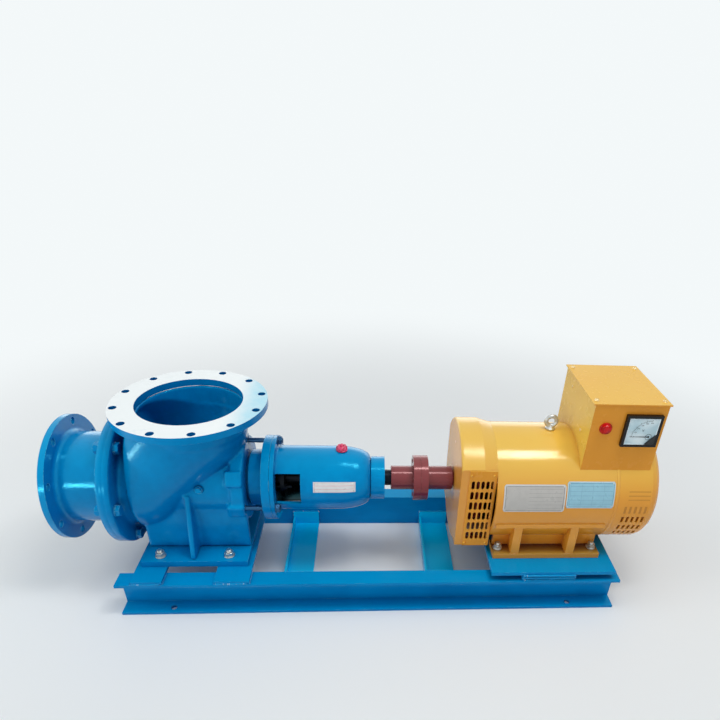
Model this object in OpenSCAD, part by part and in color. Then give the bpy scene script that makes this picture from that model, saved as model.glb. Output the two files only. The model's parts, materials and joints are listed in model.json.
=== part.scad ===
// Micro hydropower set: an elbow tubular turbine and its alternator on one welded skid.
//
// Row frame, millimetres: X runs along the shaft, turbine at -X and alternator at +X.
// Y runs across, with the front at -Y. Z is up. The origin is the centre of the four
// anchor holes on the floor. Angles round the shaft are counted from the front (-Y)
// towards the top (+Z).

/* [Skid] */
// Length of the two skid beams
skid_len = 1535; // [1500:5:1600]
// Width over the beams' outer flange edges
skid_w = 500; // [490:2:520]
// Height of the channel section of a beam
beam_h = 120; // [110:2:130]
// Width of the channel's flanges
beam_flange = 55; // [50:1:60]
// Distance of the anchor holes along the skid
anchor_pitch_x = 1240; // [1200:5:1260]
// Diameter of an anchor hole
anchor_hole_d = 18; // [14:1:20]

/* [Shaft line] */
// Height of the shaft's centre line above the floor
shaft_z = 340; // [335:1:345]
// Diameter of the turbine and alternator shafts
shaft_d = 50; // [44:1:52]
// Diameter of the coupling flanges
coupling_d = 144; // [136:2:150]
// Diameter of the coupling hubs
hub_d = 76; // [70:2:80]

/* [Turbine] */
// Centre of the inlet flange along the shaft
inlet_x = -537; // [-540:1:-534]
// Height of the inlet flange's face above the floor
inlet_z = 600; // [595:1:610]
// Outer diameter of the inlet flange (bolt circle of DN 300, PN 10)
inlet_flange_d = 432; // [428:1:440]
// Bolt circle of the inlet flange
inlet_pcd = 400; // [395:1:410]
// Bore of the inlet flange
inlet_bore = 294; // [286:2:300]
// Outer diameter of the casing's bend
casing_d = 302; // [298:2:306]
// Wall of the casting
casing_wall = 12; // [9:1:14]
// Outer diameter of the outlet flange (DN 250, PN 6)
outlet_flange_d = 375; // [370:1:385]
// Bolt circle of the outlet flange
outlet_pcd = 335; // [330:1:340]
// Bore of the runner chamber
chamber_bore = 250; // [246:2:254]
// Outer diameter of the flanges between chamber and elbow
joint_flange_d = 395; // [390:1:405]
// Number of runner blades
blade_count = 4; // [3:1:5]

/* [Bearing bracket] */
// Diameter of the bracket's body
bracket_d = 200; // [190:2:210]
// Diameter of the bracket's flange
bracket_flange_d = 262; // [258:2:270]
// Number of tie studs between casing and bracket
stud_count = 3; // [3:1:4]

/* [Alternator] */
// Diameter of the alternator's frame
frame_d = 368; // [360:2:372]
// Diameter of the drive-end shield's band
shield_d = 392; // [388:2:398]
// Rows of slots in a louvre cover
slot_rows = 6; // [4:1:6]
// Slots in one row
slot_cols = 5; // [4:1:5]
// Width of the control box along the shaft
box_w = 216; // [200:2:230]
// Depth of the control box across the shaft
box_d = 274; // [260:2:290]
// Height of the control box's top above the floor
box_top = 680; // [660:2:690]

/* [Hidden] */
$fn = 96;

eps = 0.5;                       // how far a cutter runs past a face
run_gap = 0.05;                  // radial gap of a running fit
clear = 6;                       // gap between a moving piece and a fixed one
seat = 0.2;                      // glue line under a plate

// colours
paint_blue = [0.05, 0.48, 0.72];
flange_white = [0.90, 0.93, 0.93];
steel = [0.66, 0.68, 0.70];
paint_ochre = [0.86, 0.62, 0.20];
oxide_red = [0.42, 0.16, 0.18];
lamp_red = [0.80, 0.06, 0.06];
black = [0.05, 0.05, 0.06];
plate_grey = [0.74, 0.73, 0.73];
plate_blue = [0.62, 0.80, 0.86];

// skid levels and places
flange_t = 9;
web_t = 7;
web_y = skid_w / 2 - beam_flange;          // outer-flange tips stand at skid_w / 2
anchor_pitch_y = skid_w - 40;              // holes stand 20 inside the flange tips
cross_left = [-302, 91];                   // left edge and width
cross_right = [163, 102];
cross_t = 7;
cross_leg = 34;                            // height of a cross member's upright leg
cross_end_h = 57;                          // height of its end plates
bearer_t = 10;
bearer_left = [-722, 90];
bearer_right = [-484, 104];
packer_t = 20;
packer_x = [450, 172];
bed_t = 12;
bed_x = [352, 396];
bed_d = skid_w - 12;
bed_z = beam_h + packer_t;                 // underside of the bed plate

// turbine places
foot_t = 20;
foot_x = [-707, 314];
foot_core = [-600, 120, 140];              // core opening: left edge, length and width
foot_y = 180;                              // half depth of the foot plate
foot_z = beam_h + bearer_t;
foot_bolts_x = [-656, -452];
foot_bolts_y = 152;
foot_bolt_d = 16;
inlet_flange_t = 21;
leg_z = inlet_z - inlet_flange_t;          // top of the casing's upright leg
bend_top = [inlet_x, 0, leg_z - 59];       // centres of the two ends of the bend
bend_low = [-698, 0, shaft_z];
bend_end_x = -708;                         // flat end of the bend, clear of the joint's bolts
neck_r = 131;                              // bore between the bend and the joint
plug_at = [-520, 14.5];                    // station along the shaft and angle round it
plug_d = 18;
spot_depth = 1.2;                          // of the faced ring under the plug's collar
casing_r = casing_d / 2;
passage_r = casing_r - casing_wall;
chamber_r = chamber_bore / 2;
chamber_wall_r = 136.5;
joint_x = -754;                            // joint between chamber and casing
joint_t = 18;
joint_pcd = joint_flange_d - 45;
joint_bolts = 6;
outlet_x = -925;
outlet_t = 17;
fillet_r = 13;                             // between the chamber's wall and its flanges
outlet_holes = 8;
drive_boss_r = 118;
drive_boss_x = -640;                       // end of the boss, inside the bend
drive_face_x = -393;                       // machined face on the drive side
drive_flange_t = 38;
drive_flange_r = 130;
pad = [50, 46, 46];                        // stud pad: axial, radial, tangential
stud_first = -18;                          // angle of the first stud
plain_pad = 30;                            // angle of a cast pad without a stud
stud_r = 120;                              // circle of the tie studs
stud_d = 16;
side_wall_y = 110;
side_wall_t = 14;
side_wall_x = -700;
rib_x = -563;
rib_t = 16;
wall_top = 300;

// drive-side places
shaft_r = shaft_d / 2;
box_flange_x = -342;                       // stuffing box flange
box_flange_t = 24;
bracket_x = box_flange_x + box_flange_t;
bracket_flange_t = 13;
body_x = bracket_x + bracket_flange_t;
window_x = [body_x, 74];
window_z = [305, 402];
bearing_x = -224;                          // where the bearing housing starts
gland_r = [44, 62];                        // follower's sleeve and flange
gland_l = [22, 12];                        // and their lengths
gland_pitch_r = 53;                        // circle of its two studs
taper_x = -105;
body_end_x = -20;
bracket_r = bracket_d / 2;
nose_r = 62;
end_cover_r = 67;
end_cover_l = 42;

// coupling and alternator places
coupling_x = 135;                          // middle of the gap between the halves
coupling_gap = 2;
coupling_t = 22;
hub_l = [69, 79];                          // hub lengths, turbine and alternator side
pin_pcd = 108;
pin_count = 6;
shield_x = 242;
shield_l = 108;
shield_r = shield_d / 2;
shield_flat = 150;                         // half width over the flat sides
shield_low = 186;                          // height of the flat sides' lower edge
shield_edge = 8;                           // radius of the band's front edge
frame_r = frame_d / 2;
frame_x = shield_x + shield_l;
frame_l = 362;
rear_x = frame_x + frame_l;
rear_l = 146;
rear_dome = [[44, 0], [26, 3], [12, 10], [4, 20], [0, 34]];  // insets from frame_r, distances from the end
shell_t = 12;
cover_x = [266, 82];
cover_z = [186, 278];
cover_t = 3;
slot = [10, 29];
slot_pitch = [14.6, 37.8];                 // along the shaft and upwards
slot_margin = [13, 49];                     // first slot's centre from the cover's left and top edge
rear_slot_x = 749;
rear_slot = [8, 24];
rear_slot_pitch = [16, 12];                // along the shaft, and in degrees round it
rear_slot_first = 9.6;                     // degrees above the front
ledge_z = 290;
afoot_x = [365, 345];
afoot_t = 18;
afoot_y = 178;
afoot_d = 72;
afoot_web_y = 128;
afoot_z = bed_z + bed_t;
afoot_bolt_inset = [19, 33];
box_x = 598;
box_t = 3;
lid_t = 4;
lid_over = 6;                              // overhang of the lid at the sides
lid_front = 2;                             // and at the front and the rear
lamp_pos = [box_x + 44, box_top - 76];
lamp_r = 18;
meter_x = [box_x + 96, 106];
meter_z = [box_top - 130, 100];
meter_t = 12;
meter_rim = 8;
label_plate = [-193, 100, 6, 25];          // left edge, width, lowest and highest angle
runner_x = -838;
runner_r = chamber_r - clear;
runner_hub_r = 46;
blade_chord = 92;
blade_t = 9;
blade_root_angle = 52;                     // from the shaft's direction
blade_twist = -24;
hub_half = 38;                             // half length of the runner's hub
nose_l = 84;                               // reach of its nose from the blades' axis
pin_d = 12;
core_x = [424, 210];
core_r = 118;
fan_x = 300;
fan_r = 130;
rotor_end_x = 842;
rib_places = [420, 598];
eye_x = box_x - 68;
eye_r = 16;                                // centre line of the lifting eye's ring
eye_bar = 7;                               // radius of its bar
plate_t = 1.5;
grey_plate = [370, 186, 1, 28];
pale_plate = [560, 147, 5, 31];
far = 500;                                 // reach of a cutter that only has to be large enough

// Face of a coupling half: -1 on the turbine's side, 1 on the alternator's.
function half_x(side) = coupling_x + side * coupling_gap / 2;

// Helpers

// Local Z runs along +X from station x on the shaft's centre line.
module on_shaft(x) translate([x, 0, shaft_z]) rotate([0, 90, 0]) children();

// Repeats a child made at the front (-Y) of a circle of radius r round the shaft.
module round_shaft(count, r, first = 0)
    for (i = [0 : count - 1])
        translate([0, 0, shaft_z]) rotate([-(first + i * 360 / count), 0, 0])
            translate([0, -r, 0]) children();

// A hexagon bolt or nut along +X, from x = 0, with its hexagon's width over flats.
module hex_x(flats, len) rotate([0, 90, 0]) cylinder(d = flats / cos(30), h = len, $fn = 6);

// Points of an arc, for profiles.
function arc(centre, r, from, to) = [for (i = [0 : 6])
    let (a = from + (to - from) * i / 6) [centre[0] + r * cos(a), centre[1] + r * sin(a)]];

module rod_x(d, len) rotate([0, 90, 0]) cylinder(d = d, h = len);

// A bolt standing on z = 0: washer, nut and a rest of thread, with its shank below.
module standing_bolt(d, below) {
    cylinder(d = 2 * d, h = 3);
    translate([0, 0, 2.5]) cylinder(d = 1.7 * d / cos(30), h = 0.8 * d + 0.5, $fn = 6);
    translate([0, 0, -below]) cylinder(d = d, h = below + 1.5 * d);
}

// Skid

// Channel along X with its toes towards -Y and its web's back at y = 0.
module channel(len, h, flange, tw, tf)
    translate([-len / 2, 0, 0]) rotate([90, 0, 90]) linear_extrude(len)
        polygon([[0, 0], [0, h], [-flange, h], [-flange, h - tf], [-tw, h - tf],
                 [-tw, tf], [-flange, tf], [-flange, 0]]);

module anchor_holes()
    for (sx = [-1, 1], sy = [-1, 1])
        translate([sx * anchor_pitch_x / 2, sy * anchor_pitch_y / 2, -eps])
            cylinder(d = anchor_hole_d, h = flange_t + 2 * eps);

module skid_front_beam() color(paint_blue) difference() {
    translate([0, -web_y, 0]) channel(skid_len, beam_h, beam_flange, web_t, flange_t);
    anchor_holes();
}

module skid_rear_beam() color(paint_blue) difference() {
    mirror([0, 1, 0]) translate([0, -web_y, 0])
        channel(skid_len, beam_h, beam_flange, web_t, flange_t);
    anchor_holes();
}

// Angle across the skid between the beams' webs, its leg on the left, with end plates.
module cross_member(at)
    translate([at[0], -web_y, 0]) {
        cube([at[1], 2 * web_y, cross_t]);
        cube([cross_t, 2 * web_y, cross_leg]);
        for (y = [0, 2 * web_y - cross_t])
            translate([0, y, 0]) cube([at[1], cross_t, cross_end_h]);
    }

module cross_member_left() color(paint_blue) cross_member(cross_left);
module cross_member_right() color(paint_blue) cross_member(cross_right);

// Flat bar across both beams that carries the turbine's foot.
module bearer(at, bolt_x)
    difference() {
        translate([at[0], -skid_w / 2 + 3, beam_h]) cube([at[1], skid_w - 6, bearer_t]);
        for (sy = [-1, 1])
            translate([bolt_x, sy * foot_bolts_y, beam_h - eps])
                cylinder(d = foot_bolt_d, h = bearer_t + 2 * eps);
    }

module turbine_bearer_left() color(paint_blue) bearer(bearer_left, foot_bolts_x[0]);
module turbine_bearer_right() color(paint_blue) bearer(bearer_right, foot_bolts_x[1]);

module foot_corners()
    for (x = [afoot_x[0] + afoot_bolt_inset[0], afoot_x[0] + afoot_x[1] - afoot_bolt_inset[0]],
         y = [-afoot_y + afoot_bolt_inset[1], afoot_y - afoot_bolt_inset[1]])
        translate([x, y, 0]) children();

module alternator_bed_plate() color(paint_blue) difference() {
    translate([bed_x[0], -bed_d / 2, bed_z]) cube([bed_x[1], bed_d, bed_t]);
    translate([0, 0, bed_z - eps]) foot_corners() cylinder(d = 14, h = bed_t + 2 * eps);
}

module bed_plate_packers() color(paint_blue)
    for (y = [-bed_d / 2 - 1, bed_d / 2 - beam_flange + 7])
        translate([packer_x[0], y, beam_h]) cube([packer_x[1], beam_flange - 6, packer_t]);

// Turbine

module foot_bolt_places()
    for (x = foot_bolts_x, sy = [-1, 1]) translate([x, sy * foot_bolts_y, 0]) children();

module turbine_foot_plate() color(paint_blue) difference() {
    translate([foot_x[0], -foot_y, foot_z]) cube([foot_x[1], 2 * foot_y, foot_t]);
    translate([0, 0, foot_z - eps]) foot_bolt_places()
        cylinder(d = foot_bolt_d, h = foot_t + 2 * eps);
    // core opening under the casting
    translate([foot_core[0], -foot_core[2] / 2, foot_z - eps])
        cube([foot_core[1], foot_core[2], foot_t + 2 * eps]);
}

module turbine_foot_bolts() color(steel)
    translate([0, 0, foot_z + foot_t]) foot_bolt_places()
        standing_bolt(foot_bolt_d, foot_t + bearer_t);

// The slanting middle of the bend, from the lower centre to the upper one.
bend_dx = bend_top[0] - bend_low[0];
bend_dz = bend_top[2] - bend_low[2];
bend_len = sqrt(bend_dx * bend_dx + bend_dz * bend_dz);
bend_tilt = atan2(bend_dx, bend_dz);

module bend_run(r) translate(bend_low) rotate([0, bend_tilt, 0]) cylinder(r = r, h = bend_len);

// Cast body round the water way: upright leg, rounded bend and the end at the joint.
module casing_outside() {
    translate([inlet_x, 0, bend_top[2]]) cylinder(r = casing_r + 2, h = leg_z - bend_top[2]);
    intersection() {
        union() {
            translate(bend_top) sphere(r = casing_r);
            bend_run(casing_r + 0.6);
            translate(bend_low) sphere(r = casing_r);
        }
        translate([bend_end_x, -far / 2, 0]) cube([far, far, leg_z]);
    }
    on_shaft(joint_x + 6) cylinder(r = neck_r + casing_wall, h = bend_end_x - joint_x + 4);
}

module water_way() {
    translate([inlet_x, 0, bend_top[2]])
        cylinder(r1 = passage_r + 2, r2 = inlet_bore / 2, h = leg_z - bend_top[2] + eps);
    intersection() {
        union() {
            translate(bend_top) sphere(r = passage_r);
            bend_run(passage_r + 0.6);
            translate(bend_low) sphere(r = passage_r);
        }
        translate([bend_end_x + casing_wall, -far / 2, 0]) cube([far, far, leg_z]);
    }
    on_shaft(joint_x - eps) cylinder(r = chamber_r, h = 10);
    on_shaft(joint_x + 8) cylinder(r = neck_r, h = bend_end_x + casing_wall - joint_x);
}

module joint_holes(x, len)
    round_shaft(joint_bolts, joint_pcd / 2) translate([x, 0, 0]) rod_x(22, len);

// Rib across the casting, seen in front of the foot's wall.
module rib()
    translate([rib_x, 0, 0]) rotate([90, 0, 90]) linear_extrude(rib_t)
        polygon([[-172, foot_z + foot_t], [-172, foot_z + foot_t + 18], [-128, 352],
                 [-60, 352], [-60, foot_z + foot_t]]);

module stud_pad()
    translate([drive_face_x - pad[0], -(pad[1] / 2 - 4), -pad[2] / 2]) cube([pad[0], pad[1], pad[2]]);

module stud_pads() {
    round_shaft(stud_count, stud_r, stud_first) stud_pad();
    round_shaft(1, stud_r, plain_pad) stud_pad();
}

module elbow_casing() color(paint_blue) difference() {
    union() {
        casing_outside();
        on_shaft(joint_x) cylinder(d = joint_flange_d, h = joint_t);
        on_shaft(drive_boss_x) cylinder(r = drive_boss_r, h = drive_face_x - drive_boss_x);
        on_shaft(drive_face_x - drive_flange_t) cylinder(r = drive_flange_r, h = drive_flange_t);
        stud_pads();
        for (sy = [-1, 1])
            translate([side_wall_x, sy * side_wall_y - (sy > 0 ? side_wall_t : 0), foot_z + foot_t])
                cube([drive_face_x - side_wall_x, side_wall_t, wall_top - foot_z - foot_t]);
        rib();
        mirror([0, 1, 0]) rib();
    }
    water_way();
    joint_holes(joint_x - eps, joint_t + 2 * eps);
    on_shaft(drive_boss_x - 20) cylinder(r = shaft_r + clear, h = drive_face_x - drive_boss_x + 21);
    round_shaft(stud_count, stud_r, stud_first)
        translate([drive_face_x - 30, 0, 0]) rod_x(stud_d, 31);
    at_plug() {
        translate([0, 0, -16]) cylinder(d = plug_d + 0.4, h = 20);
        cylinder(d = plug_d + 10, h = 10);
    }
}

module inlet_flange() color(flange_white) difference() {
    translate([inlet_x, 0, leg_z]) cylinder(d = inlet_flange_d, h = inlet_flange_t);
    translate([inlet_x, 0, leg_z - eps]) cylinder(d = inlet_bore, h = inlet_flange_t + 2 * eps);
    for (i = [0 : 11])
        translate([inlet_x, 0, leg_z - eps]) rotate(15 + 30 * i) translate([inlet_pcd / 2, 0, 0])
            cylinder(d = 22, h = inlet_flange_t + 2 * eps);
}

// Turned body whose wall runs into both flanges in a fillet.
module runner_chamber() color(paint_blue) difference() {
    on_shaft(0) rotate_extrude() polygon(concat(
        [[0, outlet_x], [outlet_flange_d / 2, outlet_x], [outlet_flange_d / 2, outlet_x + outlet_t]],
        arc([chamber_wall_r + fillet_r, outlet_x + outlet_t + fillet_r], fillet_r, 270, 180),
        arc([chamber_wall_r + fillet_r, joint_x - joint_t - fillet_r], fillet_r, 180, 90),
        [[joint_flange_d / 2, joint_x - joint_t], [joint_flange_d / 2, joint_x], [0, joint_x]]));
    on_shaft(outlet_x - eps) cylinder(r = chamber_r, h = joint_x - outlet_x + 2 * eps);
    round_shaft(outlet_holes, outlet_pcd / 2, 180 / outlet_holes)
        translate([outlet_x - eps, 0, 0]) rod_x(22, outlet_t + 2 * eps);
    joint_holes(joint_x - joint_t - eps, joint_t + 2 * eps);
}

module chamber_bolts() color(steel)
    round_shaft(joint_bolts, joint_pcd / 2) {
        translate([joint_x + joint_t, 0, 0]) hex_x(30, 13);
        translate([joint_x - joint_t - 22, 0, 0]) rod_x(20, 2 * joint_t + 30);
        translate([joint_x - joint_t - 16, 0, 0]) hex_x(30, 16);
    }

// Plug in the side of the drive boss, local Z outwards from the faced ring.
module at_plug()
    round_shaft(1, drive_boss_r - spot_depth, plug_at[1])
        translate([plug_at[0], 0, 0]) rotate([90, 0, 0]) children();

module casing_plug() color(paint_blue) at_plug() {
    translate([0, 0, -14]) cylinder(d = plug_d, h = 16);
    translate([0, 0, seat]) cylinder(d = plug_d + 6, h = 5);
    translate([0, 0, 5]) cylinder(d = plug_d, h = 8, $fn = 6);
}

// Drive side

module stuffing_box() color(paint_blue) difference() {
    union() {
        on_shaft(drive_face_x) cylinder(r = 72, h = 12);
        on_shaft(drive_face_x + 8) cylinder(r = 87, h = box_flange_x - drive_face_x - 8 + 1);
        on_shaft(box_flange_x) cylinder(d = bracket_flange_d, h = box_flange_t);
    }
    on_shaft(drive_face_x - eps)
        cylinder(r = shaft_r + clear, h = bracket_x - drive_face_x + 2 * eps);
    round_shaft(stud_count, stud_r, stud_first)
        translate([box_flange_x - eps, 0, 0]) rod_x(stud_d, box_flange_t + 2 * eps);
}

module tie_studs() color(steel)
    round_shaft(stud_count, stud_r, stud_first) {
        translate([drive_face_x - 28, 0, 0]) rod_x(stud_d, body_x + 16 - drive_face_x + 28);
        translate([body_x, 0, 0]) hex_x(24, 12);
    }

// Gland follower with its two studs, seen through the bracket's window.
module gland() color(steel) {
    difference() {
        union() {
            on_shaft(bracket_x) cylinder(r = gland_r[0], h = gland_l[0]);
            on_shaft(bracket_x + gland_l[0]) cylinder(r = gland_r[1], h = gland_l[1]);
        }
        on_shaft(bracket_x - eps) cylinder(r = shaft_r + clear, h = 40);
    }
    round_shaft(2, gland_pitch_r) translate([bracket_x, 0, 0]) {
        rod_x(10, gland_l[0] + gland_l[1] + 22);
        translate([gland_l[0] + gland_l[1], 0, 0]) hex_x(17, 9);
    }
}

// Bracket turned about the shaft: flange, open lantern and bearing housing.
module bearing_bracket() color(paint_blue) difference() {
    on_shaft(0) rotate_extrude() polygon([
        [0, bracket_x], [bracket_flange_d / 2, bracket_x], [bracket_flange_d / 2, body_x],
        [bracket_r, body_x], [bracket_r, taper_x], [bracket_r - 5, taper_x + 20],
        [nose_r + 18, body_end_x - 20], [nose_r, body_end_x - 2], [nose_r, body_end_x],
        [0, body_end_x]]);
    // lantern
    on_shaft(bracket_x - eps) cylinder(r = bracket_r - 14, h = bearing_x - bracket_x + eps);
    for (sy = [-1, 1])
        translate([window_x[0], sy > 0 ? 0 : -bracket_r - 2, window_z[0]])
            cube([window_x[1], bracket_r + 2, window_z[1] - window_z[0]]);
    // running lands at both ends, relief between them
    on_shaft(bearing_x - 1) cylinder(r = shaft_r + run_gap, h = body_end_x - bearing_x + 2);
    on_shaft(bearing_x + 45) cylinder(r = shaft_r + 20, h = body_end_x - bearing_x - 90);
    round_shaft(stud_count, stud_r, stud_first)
        translate([bracket_x - eps, 0, 0]) rod_x(stud_d, bracket_flange_t + 2 * eps);
    // filler hole
    translate([taper_x - 5, 0, shaft_z + shaft_r + 10]) cylinder(r = 8.2, h = 100);
}

module bearing_end_cover() color(paint_blue) difference() {
    on_shaft(body_end_x) cylinder(r = end_cover_r, h = end_cover_l);
    on_shaft(body_end_x - eps) cylinder(r = shaft_r + clear, h = end_cover_l + 2 * eps);
}

module oil_filler_plug() color(lamp_red)
    translate([taper_x - 5, 0, shaft_z + bracket_r + seat]) {
        translate([0, 0, -30]) cylinder(r = 8, h = 31);
        cylinder(r = 14, h = 5);
        translate([0, 0, 4]) cylinder(r = 12, h = 11);
    }

// Bare plate curved to the bracket's side.
module bracket_label_plate() color(plate_grey)
    plate_on_cylinder(bracket_r, label_plate);

// Moving pieces

module turbine_shaft() color(steel)
    on_shaft(runner_x - 60) cylinder(r = shaft_r, h = half_x(-1) - runner_x + 60 - 2);

// One twisted blade, standing on the shaft's centre line and pointing up.
module blade()
    rotate([0, 0, blade_root_angle])
        linear_extrude(height = runner_r + 2, twist = blade_twist, slices = 9, $fn = 12)
            polygon([for (i = [0 : 11]) let (a = i * 30)
                [blade_chord / 2 * cos(a), blade_t / 2 * sin(a)]]);

module runner() color(steel) difference() {
    union() {
        on_shaft(runner_x) rotate_extrude() polygon([
            [0, -nose_l], [0.3 * runner_hub_r, 2 - nose_l], [0.6 * runner_hub_r, 12 - nose_l],
            [0.83 * runner_hub_r, 28 - nose_l], [runner_hub_r, -hub_half],
            [runner_hub_r, hub_half], [0, hub_half]]);
        intersection() {
            for (i = [0 : blade_count - 1])
                translate([runner_x, 0, shaft_z]) rotate([i * 360 / blade_count, 0, 0]) blade();
            difference() {
                on_shaft(runner_x - blade_chord) cylinder(r = runner_r, h = 2 * blade_chord);
                on_shaft(runner_x - blade_chord - 1)
                    cylinder(r = runner_hub_r - 6, h = 2 * blade_chord + 2);
            }
        }
    }
    on_shaft(runner_x - 60) cylinder(r = shaft_r, h = 120);
}

// One half of the coupling, its flange's face at x = 0 and its hub towards +X.
module coupling_half(hub) difference() {
    union() {
        rod_x(coupling_d, coupling_t);
        rod_x(hub_d, coupling_t + hub);
    }
    translate([-eps, 0, 0]) rod_x(shaft_d, coupling_t + hub + 2 * eps);
    for (i = [0 : pin_count - 1])
        rotate([60 * i + 20, 0, 0]) translate([-eps, 0, pin_pcd / 2])
            rod_x(pin_d, coupling_t + 2 * eps);
}

module coupling_half_turbine() color(oxide_red)
    translate([half_x(-1), 0, shaft_z]) mirror([1, 0, 0]) coupling_half(hub_l[0]);

module coupling_half_alternator() color(oxide_red)
    translate([half_x(1), 0, shaft_z]) coupling_half(hub_l[1]);

module coupling_pins() color(steel)
    for (i = [0 : pin_count - 1])
        translate([coupling_x, 0, shaft_z]) rotate([60 * i + 20, 0, 0])
            translate([0, 0, pin_pcd / 2]) {
                translate([-coupling_t - 8, 0, 0]) rod_x(pin_d, 2 * coupling_t + 17);
                translate([-coupling_t - 9, 0, 0]) hex_x(19, 8);
                translate([coupling_t + 1, 0, 0]) hex_x(19, 8);
            }

// Shaft, core and fan that turn inside the alternator.
module alternator_rotor() color(steel) {
    on_shaft(half_x(1)) cylinder(r = shaft_r, h = rotor_end_x - half_x(1));
    on_shaft(core_x[0]) cylinder(r = core_r, h = core_x[1]);
    on_shaft(fan_x) cylinder(r = fan_r, h = 6);
    for (i = [0 : 9])
        translate([fan_x + 5, 0, shaft_z]) rotate([36 * i, 0, 0])
            translate([0, -3, 60]) cube([22, 6, fan_r - 62]);
}

// Alternator and control box

// Sheet plate wrapped round a cylinder of radius r: left edge, width, lowest and highest angle.
module plate_on_cylinder(r, at)
    on_shaft(at[0]) rotate(270 - at[3]) rotate_extrude(angle = at[3] - at[2])
        translate([r + seat, 0]) square([plate_t, at[1]]);

// Shield's outline: round band, flat sides and a squared lower part.
module shield_body(grow, from, len)
    intersection() {
        union() {
            on_shaft(from) cylinder(r = shield_r + grow, h = len);
            translate([from, -shield_flat, shield_low - grow])
                cube([len, 2 * shield_flat, shaft_z - shield_low + grow]);
        }
        translate([from - 1, -shield_flat - grow, 0])
            cube([len + 2, 2 * (shield_flat + grow), 2 * shaft_z]);
    }

module louvre_window(sy)
    translate([cover_x[0] + 8, sy > 0 ? shield_flat - shell_t : -shield_flat - 2, cover_z[0] + 16])
        cube([cover_x[1] - 16, shell_t + 2, cover_z[1] - 34]);

module drive_end_shield() color(paint_ochre) difference() {
    union() {
        intersection() {
            union() {
                on_shaft(shield_x) rotate_extrude() polygon(concat(
                    [[0, 0]], arc([shield_r - shield_edge, shield_edge], shield_edge, 270, 360),
                    [[shield_r, shield_l - 40], [frame_r, shield_l], [0, shield_l]]));
                translate([shield_x, -shield_flat, shield_low])
                    cube([shield_l, 2 * shield_flat, shaft_z - shield_low]);
            }
            translate([shield_x - 1, -shield_flat, 0]) cube([shield_l + 2, 2 * shield_flat, 2 * shaft_z]);
        }
        on_shaft(shield_x) cylinder(r = 60, h = 40);
    }
    difference() {
        shield_body(-shell_t + 2, shield_x + shell_t, shield_l - shell_t - 10);
        on_shaft(shield_x) cylinder(r = 60, h = 40);
    }
    on_shaft(frame_x - 12) cylinder(r = frame_r - shell_t - 24, h = 14);
    louvre_window(-1);
    louvre_window(1);
    on_shaft(shield_x - eps) cylinder(r = shaft_r + run_gap, h = 42);
}

// One louvre slot with cut corners, about the origin.
module slot_shape() {
    square([slot[0], slot[1] - 6], center = true);
    square([slot[0] - 4, slot[1]], center = true);
}

// Louvre cover lying on y = 0 and facing -Y.
module louvre_cover()
    translate([cover_x[0], 0, cover_z[0]]) rotate([90, 0, 0]) linear_extrude(cover_t)
        difference() {
            square([cover_x[1], cover_z[1]]);
            for (row = [0 : slot_rows - 1], col = [0 : slot_cols - 1])
                translate([slot_margin[0] + col * slot_pitch[0],
                           cover_z[1] - slot_margin[1] - row * slot_pitch[1]]) slot_shape();
        }

module louvre_cover_front() color(paint_ochre) translate([0, -shield_flat, 0]) louvre_cover();
module louvre_cover_rear() color(paint_ochre)
    mirror([0, 1, 0]) translate([0, -shield_flat, 0]) louvre_cover();

module alternator_frame() color(paint_ochre) difference() {
    union() {
        difference() {
            on_shaft(frame_x) cylinder(r = frame_r, h = frame_l);
            on_shaft(frame_x - eps) cylinder(r = frame_r - shell_t, h = frame_l + 2 * eps);
        }
        difference() {
            on_shaft(core_x[0]) cylinder(r = frame_r - shell_t + 1, h = core_x[1]);
            on_shaft(core_x[0] - eps) cylinder(r = core_r + clear, h = core_x[1] + 2 * eps);
        }
    }
    // cable hole under the control box and tapped hole of the lifting eye
    translate([box_x + 60, 0, shaft_z + 150]) cylinder(r = 16, h = 60);
    translate([eye_x, 0, shaft_z + frame_r - 30]) cylinder(r = 8, h = 40);
}

// Foot in front of the frame: plate, upright web, two ribs and the ledge above them.
module alternator_foot() difference() {
    union() {
        translate([afoot_x[0], -afoot_y, afoot_z]) cube([afoot_x[1], afoot_d, afoot_t]);
        translate([afoot_x[0] + 4, -afoot_web_y, afoot_z + afoot_t - 1])
            cube([afoot_x[1] - 8, 14, ledge_z - afoot_z - afoot_t]);
        translate([frame_x + 10, -afoot_y - 2, ledge_z - 14]) cube([frame_l - 20, 40, 14]);
        for (x = rib_places)
            translate([x, -afoot_y + 2, afoot_z + afoot_t - 1])
                cube([26, afoot_y - 2 - afoot_web_y + 1, ledge_z - afoot_z - afoot_t - 6]);
    }
    on_shaft(frame_x) cylinder(r = frame_r, h = frame_l);
    translate([0, 0, afoot_z - eps]) foot_corners() cylinder(d = 14, h = afoot_t + 2 * eps);
}

module alternator_foot_front() color(paint_ochre) alternator_foot();
module alternator_foot_rear() color(paint_ochre) mirror([0, 1, 0]) alternator_foot();

module alternator_foot_bolts() color(steel)
    translate([0, 0, afoot_z + afoot_t]) foot_corners() standing_bolt(14, afoot_t + bed_t);

module rear_slots()
    for (row = [0 : 3], col = [0 : 4])
        translate([0, 0, shaft_z]) rotate([rear_slot_first + rear_slot_pitch[1] * row, 0, 0])
            translate([rear_slot_x + rear_slot_pitch[0] * col - rear_slot[0] / 2, -frame_r - 2,
                       -rear_slot[1] / 2])
                cube([rear_slot[0], shell_t + 10, rear_slot[1]]);

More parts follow.
